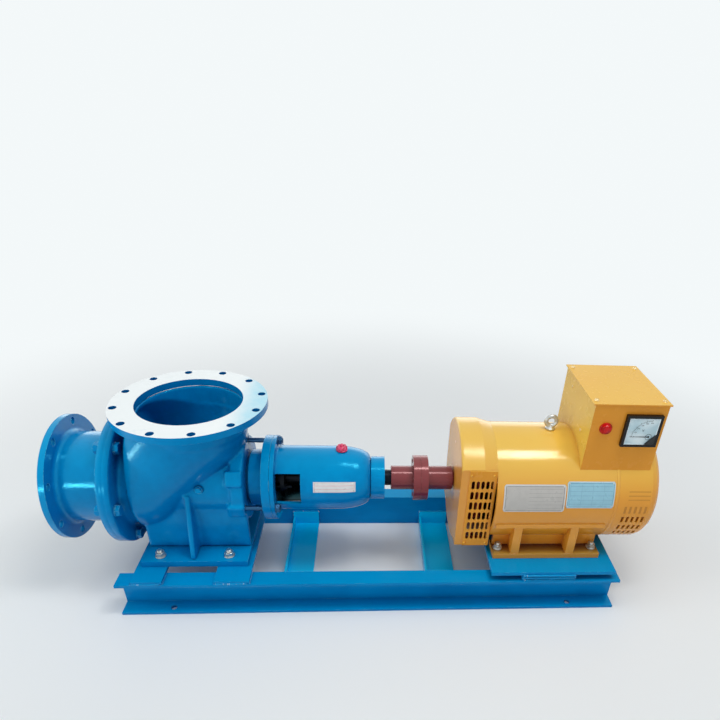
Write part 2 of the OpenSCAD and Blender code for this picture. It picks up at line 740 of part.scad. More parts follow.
module rear_end_shield() color(paint_ochre) difference() {
    on_shaft(rear_x) rotate_extrude() polygon(concat([[0, rear_l]],
        [for (step = rear_dome) [frame_r - step[0], rear_l - step[1]]], [[frame_r, 0], [0, 0]]));
    difference() {
        on_shaft(rear_x - eps) cylinder(r = frame_r - shell_t - 6, h = rear_l - 16);
        on_shaft(rear_x + rear_l - 60) cylinder(r = 60, h = 60);
    }
    on_shaft(rear_x) cylinder(r = shaft_r + run_gap, h = rotor_end_x - rear_x + 6);
    rear_slots();
    mirror([0, 1, 0]) rear_slots();
}

// Sheet-metal box astride the frame, its sides cut to the frame's curve.
module control_box() color(paint_ochre) difference() {
    translate([box_x, -box_d / 2, shaft_z]) cube([box_w, box_d, box_top - lid_t - shaft_z]);
    translate([box_x + box_t, -box_d / 2 + box_t, shaft_z - eps])
        cube([box_w - 2 * box_t, box_d - 2 * box_t, box_top - shaft_z]);
    on_shaft(box_x - 10) cylinder(r = frame_r, h = box_w + 20);
    translate([lamp_pos[0], -box_d / 2 - eps, lamp_pos[1]]) rotate([-90, 0, 0])
        cylinder(r = 11, h = box_t + 2 * eps);
}

module control_box_lid() color(paint_ochre)
    translate([box_x - lid_over, -box_d / 2 - lid_front, box_top - lid_t])
        cube([box_w + 2 * lid_over, box_d + 2 * lid_front, lid_t]);

module indicator_lamp() color(lamp_red)
    translate([lamp_pos[0], -box_d / 2, lamp_pos[1]]) rotate([90, 0, 0]) {
        translate([0, 0, -20]) cylinder(r = 11, h = 21);
        cylinder(r = lamp_r, h = 4);
        cylinder(r = lamp_r - 3, h = 11);
        translate([0, 0, 2]) intersection() {
            sphere(r = lamp_r - 2);
            translate([-lamp_r, -lamp_r, 3]) cube([2 * lamp_r, 2 * lamp_r, lamp_r]);
        }
    }

module voltmeter() color(black) difference() {
    translate([meter_x[0], -box_d / 2 - meter_t, meter_z[0]])
        cube([meter_x[1], meter_t, meter_z[1]]);
    translate([meter_x[0] + meter_rim, -box_d / 2 - meter_t - 1, meter_z[0] + meter_rim])
        cube([meter_x[1] - 2 * meter_rim, 4, meter_z[1] - 2 * meter_rim]);
}

// Two bare plates on the frame's front.
module rating_plates() {
    color(plate_grey) plate_on_cylinder(frame_r, grey_plate);
    color(plate_blue) plate_on_cylinder(frame_r, pale_plate);
}

module lifting_eye() color(steel) {
    translate([eye_x, 0, shaft_z + frame_r - 12]) cylinder(r = 8, h = 20);
    translate([eye_x, 0, shaft_z + frame_r]) cylinder(r = 15, h = 7);
    translate([eye_x, 0, shaft_z + frame_r + 5 + eye_r + eye_bar]) rotate([90, 0, 0]) rotate_extrude()
        translate([eye_r, 0]) circle(r = eye_bar);
}

skid_front_beam();
skid_rear_beam();
cross_member_left();
cross_member_right();
turbine_bearer_left();
turbine_bearer_right();
alternator_bed_plate();
bed_plate_packers();
turbine_foot_plate();
elbow_casing();
inlet_flange();
runner_chamber();
chamber_bolts();
casing_plug();
turbine_foot_bolts();
stuffing_box();
tie_studs();
gland();
bearing_bracket();
bearing_end_cover();
oil_filler_plug();
bracket_label_plate();
turbine_shaft();
runner();
coupling_half_turbine();
coupling_half_alternator();
coupling_pins();
alternator_rotor();
drive_end_shield();
louvre_cover_front();
louvre_cover_rear();
alternator_frame();
alternator_foot_front();
alternator_foot_rear();
alternator_foot_bolts();
rear_end_shield();
control_box();
control_box_lid();
indicator_lamp();
voltmeter();
rating_plates();
lifting_eye();
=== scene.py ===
"""Dressed model of a micro hydropower set.

An elbow tubular turbine, its bearing bracket, a flange coupling and an alternator stand on one
welded skid. Lengths in this file are millimetres of the row frame: X runs along the shaft from the
turbine to the alternator, the front is at -Y and Z is up.
"""

from __future__ import annotations

import json
import logging
import math
import random
from dataclasses import dataclass, field
from enum import Enum
from typing import Any, Callable, Iterable, Sequence

import bmesh
import bpy
from mathutils import Matrix, Vector, noise

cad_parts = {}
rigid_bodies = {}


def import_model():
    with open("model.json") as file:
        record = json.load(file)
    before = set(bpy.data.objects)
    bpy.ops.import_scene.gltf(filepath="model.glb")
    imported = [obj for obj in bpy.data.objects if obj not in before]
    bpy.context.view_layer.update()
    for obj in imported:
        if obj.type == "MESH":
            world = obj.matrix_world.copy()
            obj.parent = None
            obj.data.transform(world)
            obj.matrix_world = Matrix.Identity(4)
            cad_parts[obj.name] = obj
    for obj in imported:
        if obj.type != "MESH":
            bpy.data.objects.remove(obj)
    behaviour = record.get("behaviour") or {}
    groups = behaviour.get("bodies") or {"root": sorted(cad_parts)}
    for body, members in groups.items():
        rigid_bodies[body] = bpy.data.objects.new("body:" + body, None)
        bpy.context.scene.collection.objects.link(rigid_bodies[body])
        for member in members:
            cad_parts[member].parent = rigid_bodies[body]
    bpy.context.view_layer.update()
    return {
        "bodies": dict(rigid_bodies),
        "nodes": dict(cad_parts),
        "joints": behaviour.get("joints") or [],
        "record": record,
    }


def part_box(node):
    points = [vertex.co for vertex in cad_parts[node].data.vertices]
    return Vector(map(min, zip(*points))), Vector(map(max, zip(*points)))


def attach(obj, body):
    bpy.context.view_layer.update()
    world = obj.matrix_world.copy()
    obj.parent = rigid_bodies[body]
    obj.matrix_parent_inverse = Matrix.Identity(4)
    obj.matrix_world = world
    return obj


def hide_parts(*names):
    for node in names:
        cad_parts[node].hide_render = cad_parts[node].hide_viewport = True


LOG = logging.getLogger("hydro_set")
MM = 0.001
FIXED = "set"
TURNING = "shaft_line"
SHAFT_Z = 340.0

Pair = tuple[float, float]
Point = tuple[float, float, float]
Colour = tuple[float, float, float]
Box = tuple[float, float, float, float]
Piece = bpy.types.Object
Material = bpy.types.Material
Vertex = bmesh.types.BMVert


def srgb(red: int, green: int, blue: int) -> Colour:
    """Turns a display colour into the linear one that shaders use.

    Args:
        red: Red from 0 to 255.
        green: Green from 0 to 255.
        blue: Blue from 0 to 255.

    Returns:
        The linear colour.
    """

    def channel(value: int) -> float:
        """Linear value of one channel."""
        share = value / 255
        return share / 12.92 if share <= 0.04045 else ((share + 0.055) / 1.055) ** 2.4

    return channel(red), channel(green), channel(blue)


STAIN = srgb(120, 212, 238)
RUST = srgb(122, 74, 44)
PLATE_RIM = srgb(226, 232, 234)

# Left, right, lowest and highest edge of what is pressed into the rear shield, in metres.
BLIND_SLOTS = (0.745, 0.817, 0.335, 0.360)
BLIND_SLOT_PITCH = 0.016
BLIND_SLATS = (0.752, 0.820, 0.380, 0.410)
BLIND_SLAT_PITCH = 0.0125


@dataclass(frozen=True)
class Wire:
    """A node's output with arithmetic, so that shader maths reads as an expression."""

    bench: Bench
    socket: bpy.types.NodeSocket

    def __add__(self, other: Wire | float) -> Wire:
        """Sum of two values."""
        return self.bench.maths("ADD", self, other)

    def __radd__(self, other: float) -> Wire:
        """Sum with a number on the left."""
        return self.bench.maths("ADD", other, self)

    def __sub__(self, other: Wire | float) -> Wire:
        """Difference of two values."""
        return self.bench.maths("SUBTRACT", self, other)

    def __rsub__(self, other: float) -> Wire:
        """Difference with a number on the left."""
        return self.bench.maths("SUBTRACT", other, self)

    def __mul__(self, other: Wire | float) -> Wire:
        """Product of two values."""
        return self.bench.maths("MULTIPLY", self, other)

    def __truediv__(self, other: Wire | float) -> Wire:
        """Quotient of two values."""
        return self.bench.maths("DIVIDE", self, other)

    def __gt__(self, other: Wire | float) -> Wire:
        """One where this value is the greater."""
        return self.bench.maths("GREATER_THAN", self, other)

    def __lt__(self, other: Wire | float) -> Wire:
        """One where this value is the smaller."""
        return self.bench.maths("LESS_THAN", self, other)

    def clamp(self) -> Wire:
        """The value held between 0 and 1."""
        return self.bench.maths("MAXIMUM", self.bench.maths("MINIMUM", self, 1.0), 0.0)

    def ramp(self, low: float, high: float) -> Wire:
        """A smooth step from 0 at low to 1 at high."""
        inputs = {"Value": self, "From Min": low, "From Max": high}
        return self.bench.add("ShaderNodeMapRange", {"interpolation_type": "SMOOTHSTEP"}, inputs, "Result")


class Bench:
    """The node tree of one material, and the one way in which nodes are added to it."""

    def __init__(self, name: str) -> None:
        """Makes an empty material.

        Args:
            name: The material's name.
        """
        self.material = bpy.data.materials.new(name)
        self.material.use_nodes = True
        self.tree = self.material.node_tree
        self.tree.nodes.clear()

    @classmethod
    def on_tree(cls, tree: bpy.types.NodeTree) -> Bench:
        """A bench on a tree that belongs to no material, such as the sky's.

        Args:
            tree: The node tree.

        Returns:
            The bench.
        """
        bench = cls.__new__(cls)
        bench.tree = tree
        tree.nodes.clear()
        return bench

    def add(self, kind: str, settings: dict[str, Any] | None = None,
            inputs: dict[str | int, Any] | None = None, output: str | int = 0) -> Wire:
        """Adds a node, sets it and feeds it.

        Args:
            kind: The node's type.
            settings: Its properties.
            inputs: Values or wires by socket name or number.
            output: The socket to hand back.

        Returns:
            The chosen output.
        """
        node = self.tree.nodes.new(kind)
        for key, value in (settings or {}).items():
            setattr(node, key, value)
        for key, value in (inputs or {}).items():
            socket = node.inputs[key]
            if isinstance(value, Wire):
                self.tree.links.new(value.socket, socket)
            elif isinstance(value, tuple) and socket.type == "RGBA":
                socket.default_value = (*value, 1.0)
            else:
                socket.default_value = value
        return Wire(self, node.outputs[output] if len(node.outputs) else None)

    def maths(self, operation: str, first: Wire | float, second: Wire | float = 0.0) -> Wire:
        """Adds a Math node."""
        return self.add("ShaderNodeMath", {"operation": operation}, {0: first, 1: second})

    def mix(self, factor: Wire | float, first: Wire | Colour, second: Wire | Colour,
            blend: str = "MIX") -> Wire:
        """Mixes two colours."""
        settings = {"data_type": "RGBA", "blend_type": blend}
        return self.add("ShaderNodeMix", settings, {0: factor, 6: first, 7: second}, 2)

    def vector(self, operation: str, *values: Wire | Point, output: str = "Value") -> Wire:
        """Adds a Vector Math node that works on one to three vectors."""
        return self.add("ShaderNodeVectorMath", {"operation": operation}, dict(enumerate(values)), output)

    def normal(self) -> Wire:
        """The surface's own normal."""
        return self.add("ShaderNodeNewGeometry", output="Normal")

    def object_place(self) -> Wire:
        """Object coordinates, which are metres of the row frame on every piece."""
        return self.add("ShaderNodeTexCoord", output="Object")

    def stretch(self, place: Wire, scale: Point) -> Wire:
        """Coordinates stretched along the axes."""
        return self.add("ShaderNodeMapping", {"vector_type": "POINT"}, {"Vector": place, "Scale": scale})

    def clouds(self, place: Wire, scale: float, detail: float = 3.0, rough: float = 0.55) -> Wire:
        """Noise of a given count of cells a metre."""
        inputs = {"Vector": place, "Scale": scale, "Detail": detail, "Roughness": rough}
        return self.add("ShaderNodeTexNoise", {"noise_dimensions": "3D"}, inputs, 0)

    def axis(self, vector: Wire, index: int) -> Wire:
        """One component of a vector."""
        return self.add("ShaderNodeSeparateXYZ", None, {0: vector}, index)

    def soft_normal(self, radius: float) -> Wire:
        """Normals rounded over edges by a radius in millimetres."""
        return self.add("ShaderNodeBevel", {"samples": 4}, {"Radius": radius * MM})

    def edge_mask(self, soft: Wire) -> Wire:
        """One at edges, from how far the rounded normal leans away from the face's own."""
        return (1 - self.vector("DOT_PRODUCT", self.normal(), soft)).ramp(0.02, 0.22)

    def bump(self, height: Wire, depth: float, normal: Wire | None = None) -> Wire:
        """Normals bent by a height field.

        Args:
            height: Height from 0 to 1.
            depth: Depth in millimetres of a step from 0 to 1.
            normal: Normals to start from.

        Returns:
            The bent normals.
        """
        inputs: dict[str | int, Any] = {"Strength": 1.0, "Distance": depth * MM, "Height": height}
        if normal is not None:
            inputs["Normal"] = normal
        return self.add("ShaderNodeBump", None, inputs)

    def finish(self, **sockets: Any) -> Material:
        """Adds the surface shader and the output.

        Args:
            **sockets: The shader's sockets, with underscores for spaces.

        Returns:
            The material.
        """
        named = {key.replace("_", " "): value for key, value in sockets.items()}
        shader = self.add("ShaderNodeBsdfPrincipled", None, named)
        self.add("ShaderNodeOutputMaterial", None, {"Surface": shader})
        return self.material


@dataclass(frozen=True)
class Enamel:
    """Gloss paint on metal, with brush marks, painted light on faces turned toward the light, painted shade
    on those turned away and in hollows, edges partly rubbed and partly painted as highlights, and the texture
    below it.
    """

    colour: Colour
    deep: Colour
    # Colour of the edge marks: partly paint rubbed through, partly a painted highlight.
    bare: Colour
    faded: Colour
    roughness: float = 0.2
    specular: float = 0.3
    tint: Colour = (1.0, 1.0, 1.0)
    grain_cells: float = 170.0
    grain_depth: float = 0.3
    peel_depth: float = 0.03
    brush: Point = (1.0, 1.0, 1.0)
    wear: float = 0.35
    fade: float = 0.4
    grime: float = 0.7
    rust: float = 0.0
    mottle: float = 0.4
    shade: float = 0.55
    edge: float = 1.6
    worn_from: float = 0.56
    bleach: Point = (-0.55, 0.0, 0.83)
    face_colour: Colour | None = None
    face_height: float = 0.0
    face_stain: Colour = STAIN
    stain_x: Pair = (-0.43, -0.34)
    inside: Colour | None = None
    blind_slots: bool = False
    broad_cells: float = 6.0
    patch_cells: float = 42.0
    peel_cells: float = 700.0
    hollow_reach: float = 0.045

    def make(self, name: str) -> Material:
        """Builds the material.

        Args:
            name: The material's name.

        Returns:
            The material.
        """
        bench = Bench(name)
        place = bench.object_place()
        stroke = bench.stretch(place, self.brush)
        broad = bench.clouds(place, self.broad_cells, 2.0)
        patch = bench.clouds(stroke, self.patch_cells, 3.0)
        grain = bench.clouds(stroke, self.grain_cells, 2.0, 0.5)
        peel = bench.clouds(place, self.peel_cells, 1.0)
        soft = bench.soft_normal(self.edge)
        edges = bench.edge_mask(soft)
        facing = bench.normal()
        lift = bench.axis(facing, 2)
        sunny = bench.vector("DOT_PRODUCT", facing, self.bleach)
        reach = {"Distance": self.hollow_reach}
        open_share = bench.add("ShaderNodeAmbientOcclusion", {"samples": 4}, reach, "AO")
        hollow = (1 - open_share).ramp(0.2, 0.95)
        paint = bench.mix((broad * 0.6 + patch * 0.4).ramp(0.35, 0.75) * self.mottle, self.colour, self.deep)
        # Painted shade: faces turned away from the light are mixed toward the deep colour.
        paint = bench.mix((0 - sunny).ramp(-0.15, 0.75) * self.shade, paint, self.deep)
        # Painted light: faces turned toward the light take the paler lit colour, broken up by noise.
        paint = bench.mix(sunny.ramp(0.1, 0.85) * self.fade * (broad * 0.5 + 0.7).clamp(), paint, self.faded)
        if self.face_colour is not None:
            face = lift.ramp(0.75, 0.95) * (bench.axis(place, 2) > self.face_height * MM)
            kept = (broad * 0.5 + patch * 0.5).ramp(0.30, 0.40)
            paint = bench.mix(face * (kept * 0.12 + 0.88), paint, self.face_colour)
            # The top face turns cyan in patches towards its right end.
            stain = bench.axis(place, 0).ramp(*self.stain_x) * (patch * 0.5 + 0.35)
            paint = bench.mix(face * stain, paint, self.face_stain)
            hollow = hollow * (1 - face)
        # Painted shade: hollows found by ambient occlusion are multiplied toward the deep colour.
        paint = bench.mix(hollow * self.grime * (patch * 0.5 + 0.7).clamp(), paint, self.deep, "MULTIPLY")
        # Painted shade: the pressed slots and slats are darkened, and a bump gives their depth below.
        sunk = self.slot_mask(bench, place) if self.blind_slots else None
        if sunk is not None:
            paint = bench.mix(sunk * 0.6, paint, tuple(0.55 * v for v in self.deep))
        # Painted shade: faces turned toward the shaft take the inside colour, near black in the bearing
        # bracket and dark red in the alternator, where the red of its windings is seen in shade.
        if self.inside is not None:
            from_shaft = bench.vector("MULTIPLY_ADD", place, (0.0, 1.0, 1.0), (0.0, 0.0, -SHAFT_Z * MM),
                                      output="Vector")
            outwards = bench.vector("NORMALIZE", from_shaft, output="Vector")
            inward = bench.vector("DOT_PRODUCT", facing, outwards)
            paint = bench.mix((0 - inward).ramp(0.6, 0.8), paint, self.inside)
        # Edges take the edge colour in broken patches: partly rubbed paint, partly a painted highlight where
        # edges catch light.
        worn = edges * (patch * 0.55 + grain * 0.55).ramp(self.worn_from, self.worn_from + 0.1)
        paint = bench.mix(worn * self.wear, paint, self.bare)
        if self.rust:
            rusty = (patch * 0.6 + grain * 0.5).ramp(0.60, 0.70) * self.rust
            paint = bench.mix(rusty, paint, RUST)
        rough = self.roughness + (patch - 0.5) * 0.14 + worn * 0.2 + hollow * 0.15
        bent = bench.bump(peel, self.peel_depth, soft)
        height = grain - worn * 0.2
        if sunk is not None:
            bent = bench.bump(1 - sunk, 0.6, bent)
        normal = bench.bump(height, self.grain_depth, bent)
        return bench.finish(Base_Color=paint, Roughness=rough.clamp(), Normal=normal, IOR=1.5,
                            Specular_IOR_Level=self.specular, Specular_Tint=self.tint)

    @staticmethod
    def slot_mask(bench: Bench, place: Wire) -> Wire:
        """One in the shallow slots and slats pressed into the rear shield above its open slots.

        Args:
            bench: The material's bench.
            place: Coordinates.

        Returns:
            The mask.
        """
        x, z = (bench.axis(place, index) for index in (0, 2))
        left, right, low, high = BLIND_SLOTS
        across = bench.maths("FRACT", (x - left) / BLIND_SLOT_PITCH) < 0.45
        slots = across * (x > left) * (x < right) * (z > low) * (z < high)
        left, right, low, high = BLIND_SLATS
        beat = bench.maths("FRACT", (z - low) / BLIND_SLAT_PITCH) < 0.3
        slats = beat * (x > left) * (x < right) * (z > low) * (z < high)
        return (slots + slats * 0.6).clamp()


@dataclass(frozen=True)
class Metal:
    """Bare, plated or machined metal."""

    colour: Colour
    stain: Colour
    roughness: float = 0.32
    stain_share: float = 0.5
    edge: float = 0.6

    def make(self, name: str) -> Material:
        """Builds the material.

        Args:
            name: The material's name.

        Returns:
            The material.
        """
        bench = Bench(name)
        place = bench.object_place()
        broad = bench.clouds(place, 24.0, 4.0)
        grain = bench.clouds(place, 260.0, 3.0)
        soft = bench.soft_normal(self.edge)
        stained = (broad * 0.7 + grain * 0.4).ramp(0.46, 0.74) * self.stain_share
        colour = bench.mix(stained, self.colour, self.stain)
        rough = self.roughness + (grain - 0.5) * 0.18 + stained * 0.3
        return bench.finish(Base_Color=colour, Roughness=rough.clamp(), Metallic=(1 - stained * 0.75).clamp(),
                            Normal=bench.bump(grain * 0.5, 0.08, soft))


@dataclass(frozen=True)
class Moulded:
    """Moulded plastic."""

    colour: Colour
    deep: Colour
    roughness: float = 0.3
    specular: float = 0.3
    edge: float = 0.5

    def make(self, name: str) -> Material:
        """Builds the material.

        Args:
            name: The material's name.

        Returns:
            The material.
        """
        bench = Bench(name)
        place = bench.object_place()
        broad = bench.clouds(place, 60.0, 3.0)
        fine = bench.clouds(place, 900.0, 2.0)
        colour = bench.mix(broad.ramp(0.35, 0.8), self.colour, self.deep)
        rough = self.roughness + (broad - 0.5) * 0.12
        return bench.finish(Base_Color=colour, Roughness=rough.clamp(),
                            Normal=bench.bump(fine, 0.05, bench.soft_normal(self.edge)),
                            Specular_IOR_Level=self.specular)


@dataclass(frozen=True)
class BarePlate:
    """A blank rating or name plate: a satin field with a ruled border and faint blank rows."""

    field: Colour
    line: Colour
    along: Pair
    up: Pair
    rows: int
    columns: int = 1
    split: float = 0.0
    roughness: float = 0.3
    rule: float = 0.55

    def make(self, name: str) -> Material:
        """Builds the material.

        Args:
            name: The material's name.

        Returns:
            The material.
        """
        bench = Bench(name)
        place = bench.object_place()
        across, rise = ((bench.axis(place, axis) - low * MM) / ((high - low) * MM)
                        for axis, (low, high) in ((0, self.along), (2, self.up)))
        patch = bench.clouds(place, 45.0, 4.0)
        fine = bench.clouds(place, 500.0, 2.0)
        inset_x, inset_z = (bench.maths("ABSOLUTE", share - 0.5) for share in (across, rise))
        border = (inset_x > 0.466) * (inset_x < 0.474) + (inset_z > 0.440) * (inset_z < 0.454)
        inside = (inset_x < 0.474) * (inset_z < 0.454)
        beat = bench.maths("FRACT", rise * self.rows)
        bars = bench.maths("FRACT", (across - self.split) / (1 - self.split) * self.columns)
        table = (inset_x < 0.45) * (inset_z < 0.41) * (across > self.split)
        rules = ((beat < 0.09) + (bars < 0.025) * min(1, self.columns - 1)).clamp() * table
        marks = (border + rules * self.rule).clamp() * inside * (patch * 0.7 + 0.45).clamp()
        rim = bench.maths("MAXIMUM", (inset_x > 0.485), (inset_z > 0.478))
        tone = bench.mix(patch.ramp(0.35, 0.8) * 0.4, self.field, tuple(0.74 * v for v in self.field))
        tone = bench.mix(rim * 0.6, tone, PLATE_RIM)
        colour = bench.mix(marks, tone, self.line)
        rough = self.roughness + (patch - 0.5) * 0.2
        return bench.finish(Base_Color=colour, Roughness=rough.clamp(), Metallic=0.1,
                            Normal=bench.bump(fine * 0.6 - marks * 0.6, 0.06, bench.soft_normal(0.5)))


@dataclass(frozen=True)
class DialFace:
    """The voltmeter's printed face under its window, mottled bluish as a painted reflection of the window."""

    field: Colour = srgb(226, 242, 248)
    shade: Colour = srgb(166, 200, 212)

    def make(self, name: str) -> Material:
        """Builds the material.

        Args:
            name: The material's name.

        Returns:
            The material.
        """
        bench = Bench(name)
        place = bench.object_place()
        broad = bench.clouds(place, 14.0, 1.0)
        fine = bench.clouds(place, 400.0, 2.0)
        # Painted reflection: the face is mixed toward the bluish shade colour in broad patches.
        colour = bench.mix((broad + (fine - 0.5) * 0.1).ramp(0.35, 0.65), self.field, self.shade)
        return bench.finish(Base_Color=colour, Roughness=(0.35 + (fine - 0.5) * 0.1).clamp(), Coat_Weight=1.0,
                            Coat_Roughness=0.03, Normal=bench.bump(fine, 0.01))


BLUE = srgb(0, 138, 204)
BLUE_DEEP = srgb(0, 90, 160)
# Painted highlight: the pale cyan that blue edges take, also standing for rubbed paint.
BLUE_BARE = srgb(136, 222, 240)
# Painted light: the paler blue for faces turned toward the light.
BLUE_FADED = srgb(0, 164, 216)
CYAN_GLOSS = (0.08, 0.8, 1.0)
OCHRE = srgb(226, 152, 48)
OCHRE_DEEP = srgb(212, 134, 38)
# Painted highlight: the pale cream that ochre edges take, also standing for rubbed paint.
OCHRE_BARE = srgb(250, 226, 160)
# Painted light: the paler ochre for faces turned toward the light.
OCHRE_FADED = srgb(232, 198, 86)
OCHRE_GLOSS = (1.0, 0.93, 0.72)
OXIDE = srgb(118, 36, 44)


def blue(roughness: float, specular: float, cells: float, depth: float, **changes: Any) -> Enamel:
    """The set's blue enamel with a gloss and a grain of its own."""
    bare = changes.pop("bare", BLUE_BARE)
    return Enamel(BLUE, BLUE_DEEP, bare, BLUE_FADED, roughness, specular, CYAN_GLOSS, cells, depth, **changes)


def ochre(roughness: float, specular: float, cells: float, depth: float, **changes: Any) -> Enamel:
    """The alternator's ochre enamel with a gloss and a grain of its own.

    Args:
        roughness: Its roughness.
        specular: Its specular level.
        cells: Cells a metre of its grain.
        depth: Depth of its grain.

    Returns:
        The new piece.
    """
    usual = {"bleach": (-0.3, 0.0, 0.95), "mottle": 0.15, "shade": 0.2, "grime": 0.6, "fade": 0.75}
    return Enamel(OCHRE, OCHRE_DEEP, OCHRE_BARE, OCHRE_FADED, roughness, specular, OCHRE_GLOSS, cells, depth,
                  **(usual | changes))


class Finish(Enum):
    """Every finish on the set."""

    ROLLED_BLUE = blue(0.22, 0.35, 90.0, 0.18, brush=(0.2, 1.0, 1.0), wear=0.5)
    PLATE_BLUE = blue(0.2, 0.35, 90.0, 0.2, brush=(1.0, 0.3, 1.0), wear=0.6)
    # Painted light: a brighter copy of the blue for the cross members, which sit in shade under the set.
    CROSS_BLUE = Enamel(srgb(0, 204, 255), srgb(0, 176, 244), BLUE_BARE, srgb(0, 206, 255), 0.2, 0.2,
                        CYAN_GLOSS, 90.0, 0.2, wear=0.7, grime=0.1, mottle=0.2, shade=0.1)
    WELD_BLUE = blue(0.2, 0.6, 240.0, 0.5, bare=srgb(232, 240, 236), wear=1.0, rust=0.05, edge=3.4,
                     worn_from=0.36)
    CAST_BLUE = blue(0.17, 0.5, 150.0, 0.28, wear=0.75, grime=0.85, edge=2.6, worn_from=0.5)
    CHAMBER_BLUE = blue(0.11, 0.9, 230.0, 0.3, wear=0.6, grime=0.85, edge=2.6, worn_from=0.52)
    TURNED_BLUE = blue(0.17, 0.5, 60.0, 0.12, edge=1.8, inside=srgb(8, 12, 18))
    FLANGE_BLUE = blue(0.2, 0.4, 110.0, 0.2, wear=0.4, face_colour=srgb(246, 250, 250), face_height=598.0)
    OCHRE_CAST = ochre(0.16, 0.7, 50.0, 0.1, inside=srgb(72, 22, 16))
    OCHRE_SHIELD = ochre(0.24, 0.9, 50.0, 0.1, inside=srgb(170, 36, 30))
    OCHRE_REAR = ochre(0.2, 0.5, 50.0, 0.1, inside=srgb(170, 36, 30), blind_slots=True)
    OCHRE_SHEET = ochre(0.26, 0.3, 30.0, 0.015, peel_depth=0.006, fade=0.85, wear=0.3, mottle=0.1, edge=0.6,
                        bleach=(-0.8, 0.0, 0.6))
    OXIDE_PAINT = Enamel(OXIDE, srgb(88, 24, 32), srgb(196, 130, 124), srgb(158, 92, 92), 0.17, 0.8,
                         (1.0, 0.6, 0.6), 190.0, 0.22, fade=0.3, wear=0.6)
    VARNISH = Moulded(srgb(150, 26, 24), srgb(90, 12, 12), 0.35)
    ZINC = Metal(srgb(206, 208, 206), srgb(120, 118, 110), 0.34)
    DARK_STEEL = Metal(srgb(52, 96, 134), srgb(10, 28, 48), 0.28)
    # Painted shade: near-black steel for the gland and shaft, which are seen only in shade.
    GREASY = Metal(srgb(22, 28, 36), srgb(5, 8, 12), 0.3)
    RUNNER = Metal(srgb(150, 140, 120), srgb(70, 62, 52), 0.42)
    PALE_SCREW = Metal(srgb(240, 218, 168), srgb(206, 160, 80), 0.3)
    RED_LAMP = Moulded(srgb(206, 10, 14), srgb(150, 2, 6), 0.14)
    RED_CAP = Moulded(srgb(236, 50, 110), srgb(176, 14, 60), 0.16, 0.8)
    BLACK = Moulded(srgb(12, 13, 16), srgb(4, 5, 6), 0.26)
    # Painted highlight: the pale bevelled edge of the voltmeter's window.
    WINDOW_RIM = Moulded(srgb(232, 242, 246), srgb(196, 216, 224), 0.12)


def turns(count: int) -> list[float]:
    """Evenly spaced angles of one full turn."""
    return [2 * math.pi * i / count for i in range(count)]


def rise_by(height: float) -> Matrix:
    """A step along the local Z."""
    return Matrix.Translation((0, 0, height))


def spin(angle: float) -> Matrix:
    """A turn about the local Z."""
    return Matrix.Rotation(angle, 4, "Z")


def link(name: str, data: bpy.types.ID) -> Piece:
    """Makes an object of some data and links it to the scene.

    Args:
        name: The object's name.
        data: Its mesh, curve, lamp or camera.

    Returns:
        The new object.
    """
    item = bpy.data.objects.new(name, data)
    bpy.context.scene.collection.objects.link(item)
    return item


def built_mesh(item: Piece) -> bpy.types.Mesh:
    """The mesh that an object's outline or modifiers give."""
    return bpy.data.meshes.new_from_object(item.evaluated_get(bpy.context.evaluated_depsgraph_get()))


def knurled(depth: float, lobes: int, least: float) -> Callable[[float, float], float]:
    """An outline for a lathe with lobes, where the profile's radius is above the least one."""
    return lambda angle, reach: reach + (depth * math.cos(lobes * angle) if reach > least else 0)


@dataclass(frozen=True)
class BoltSize:
    """Washer, nut and thread of a bolt that stands on a foot."""

    washer: Point
    nut: Pair
    rod: float
    tip: float
    below: float = -29.5


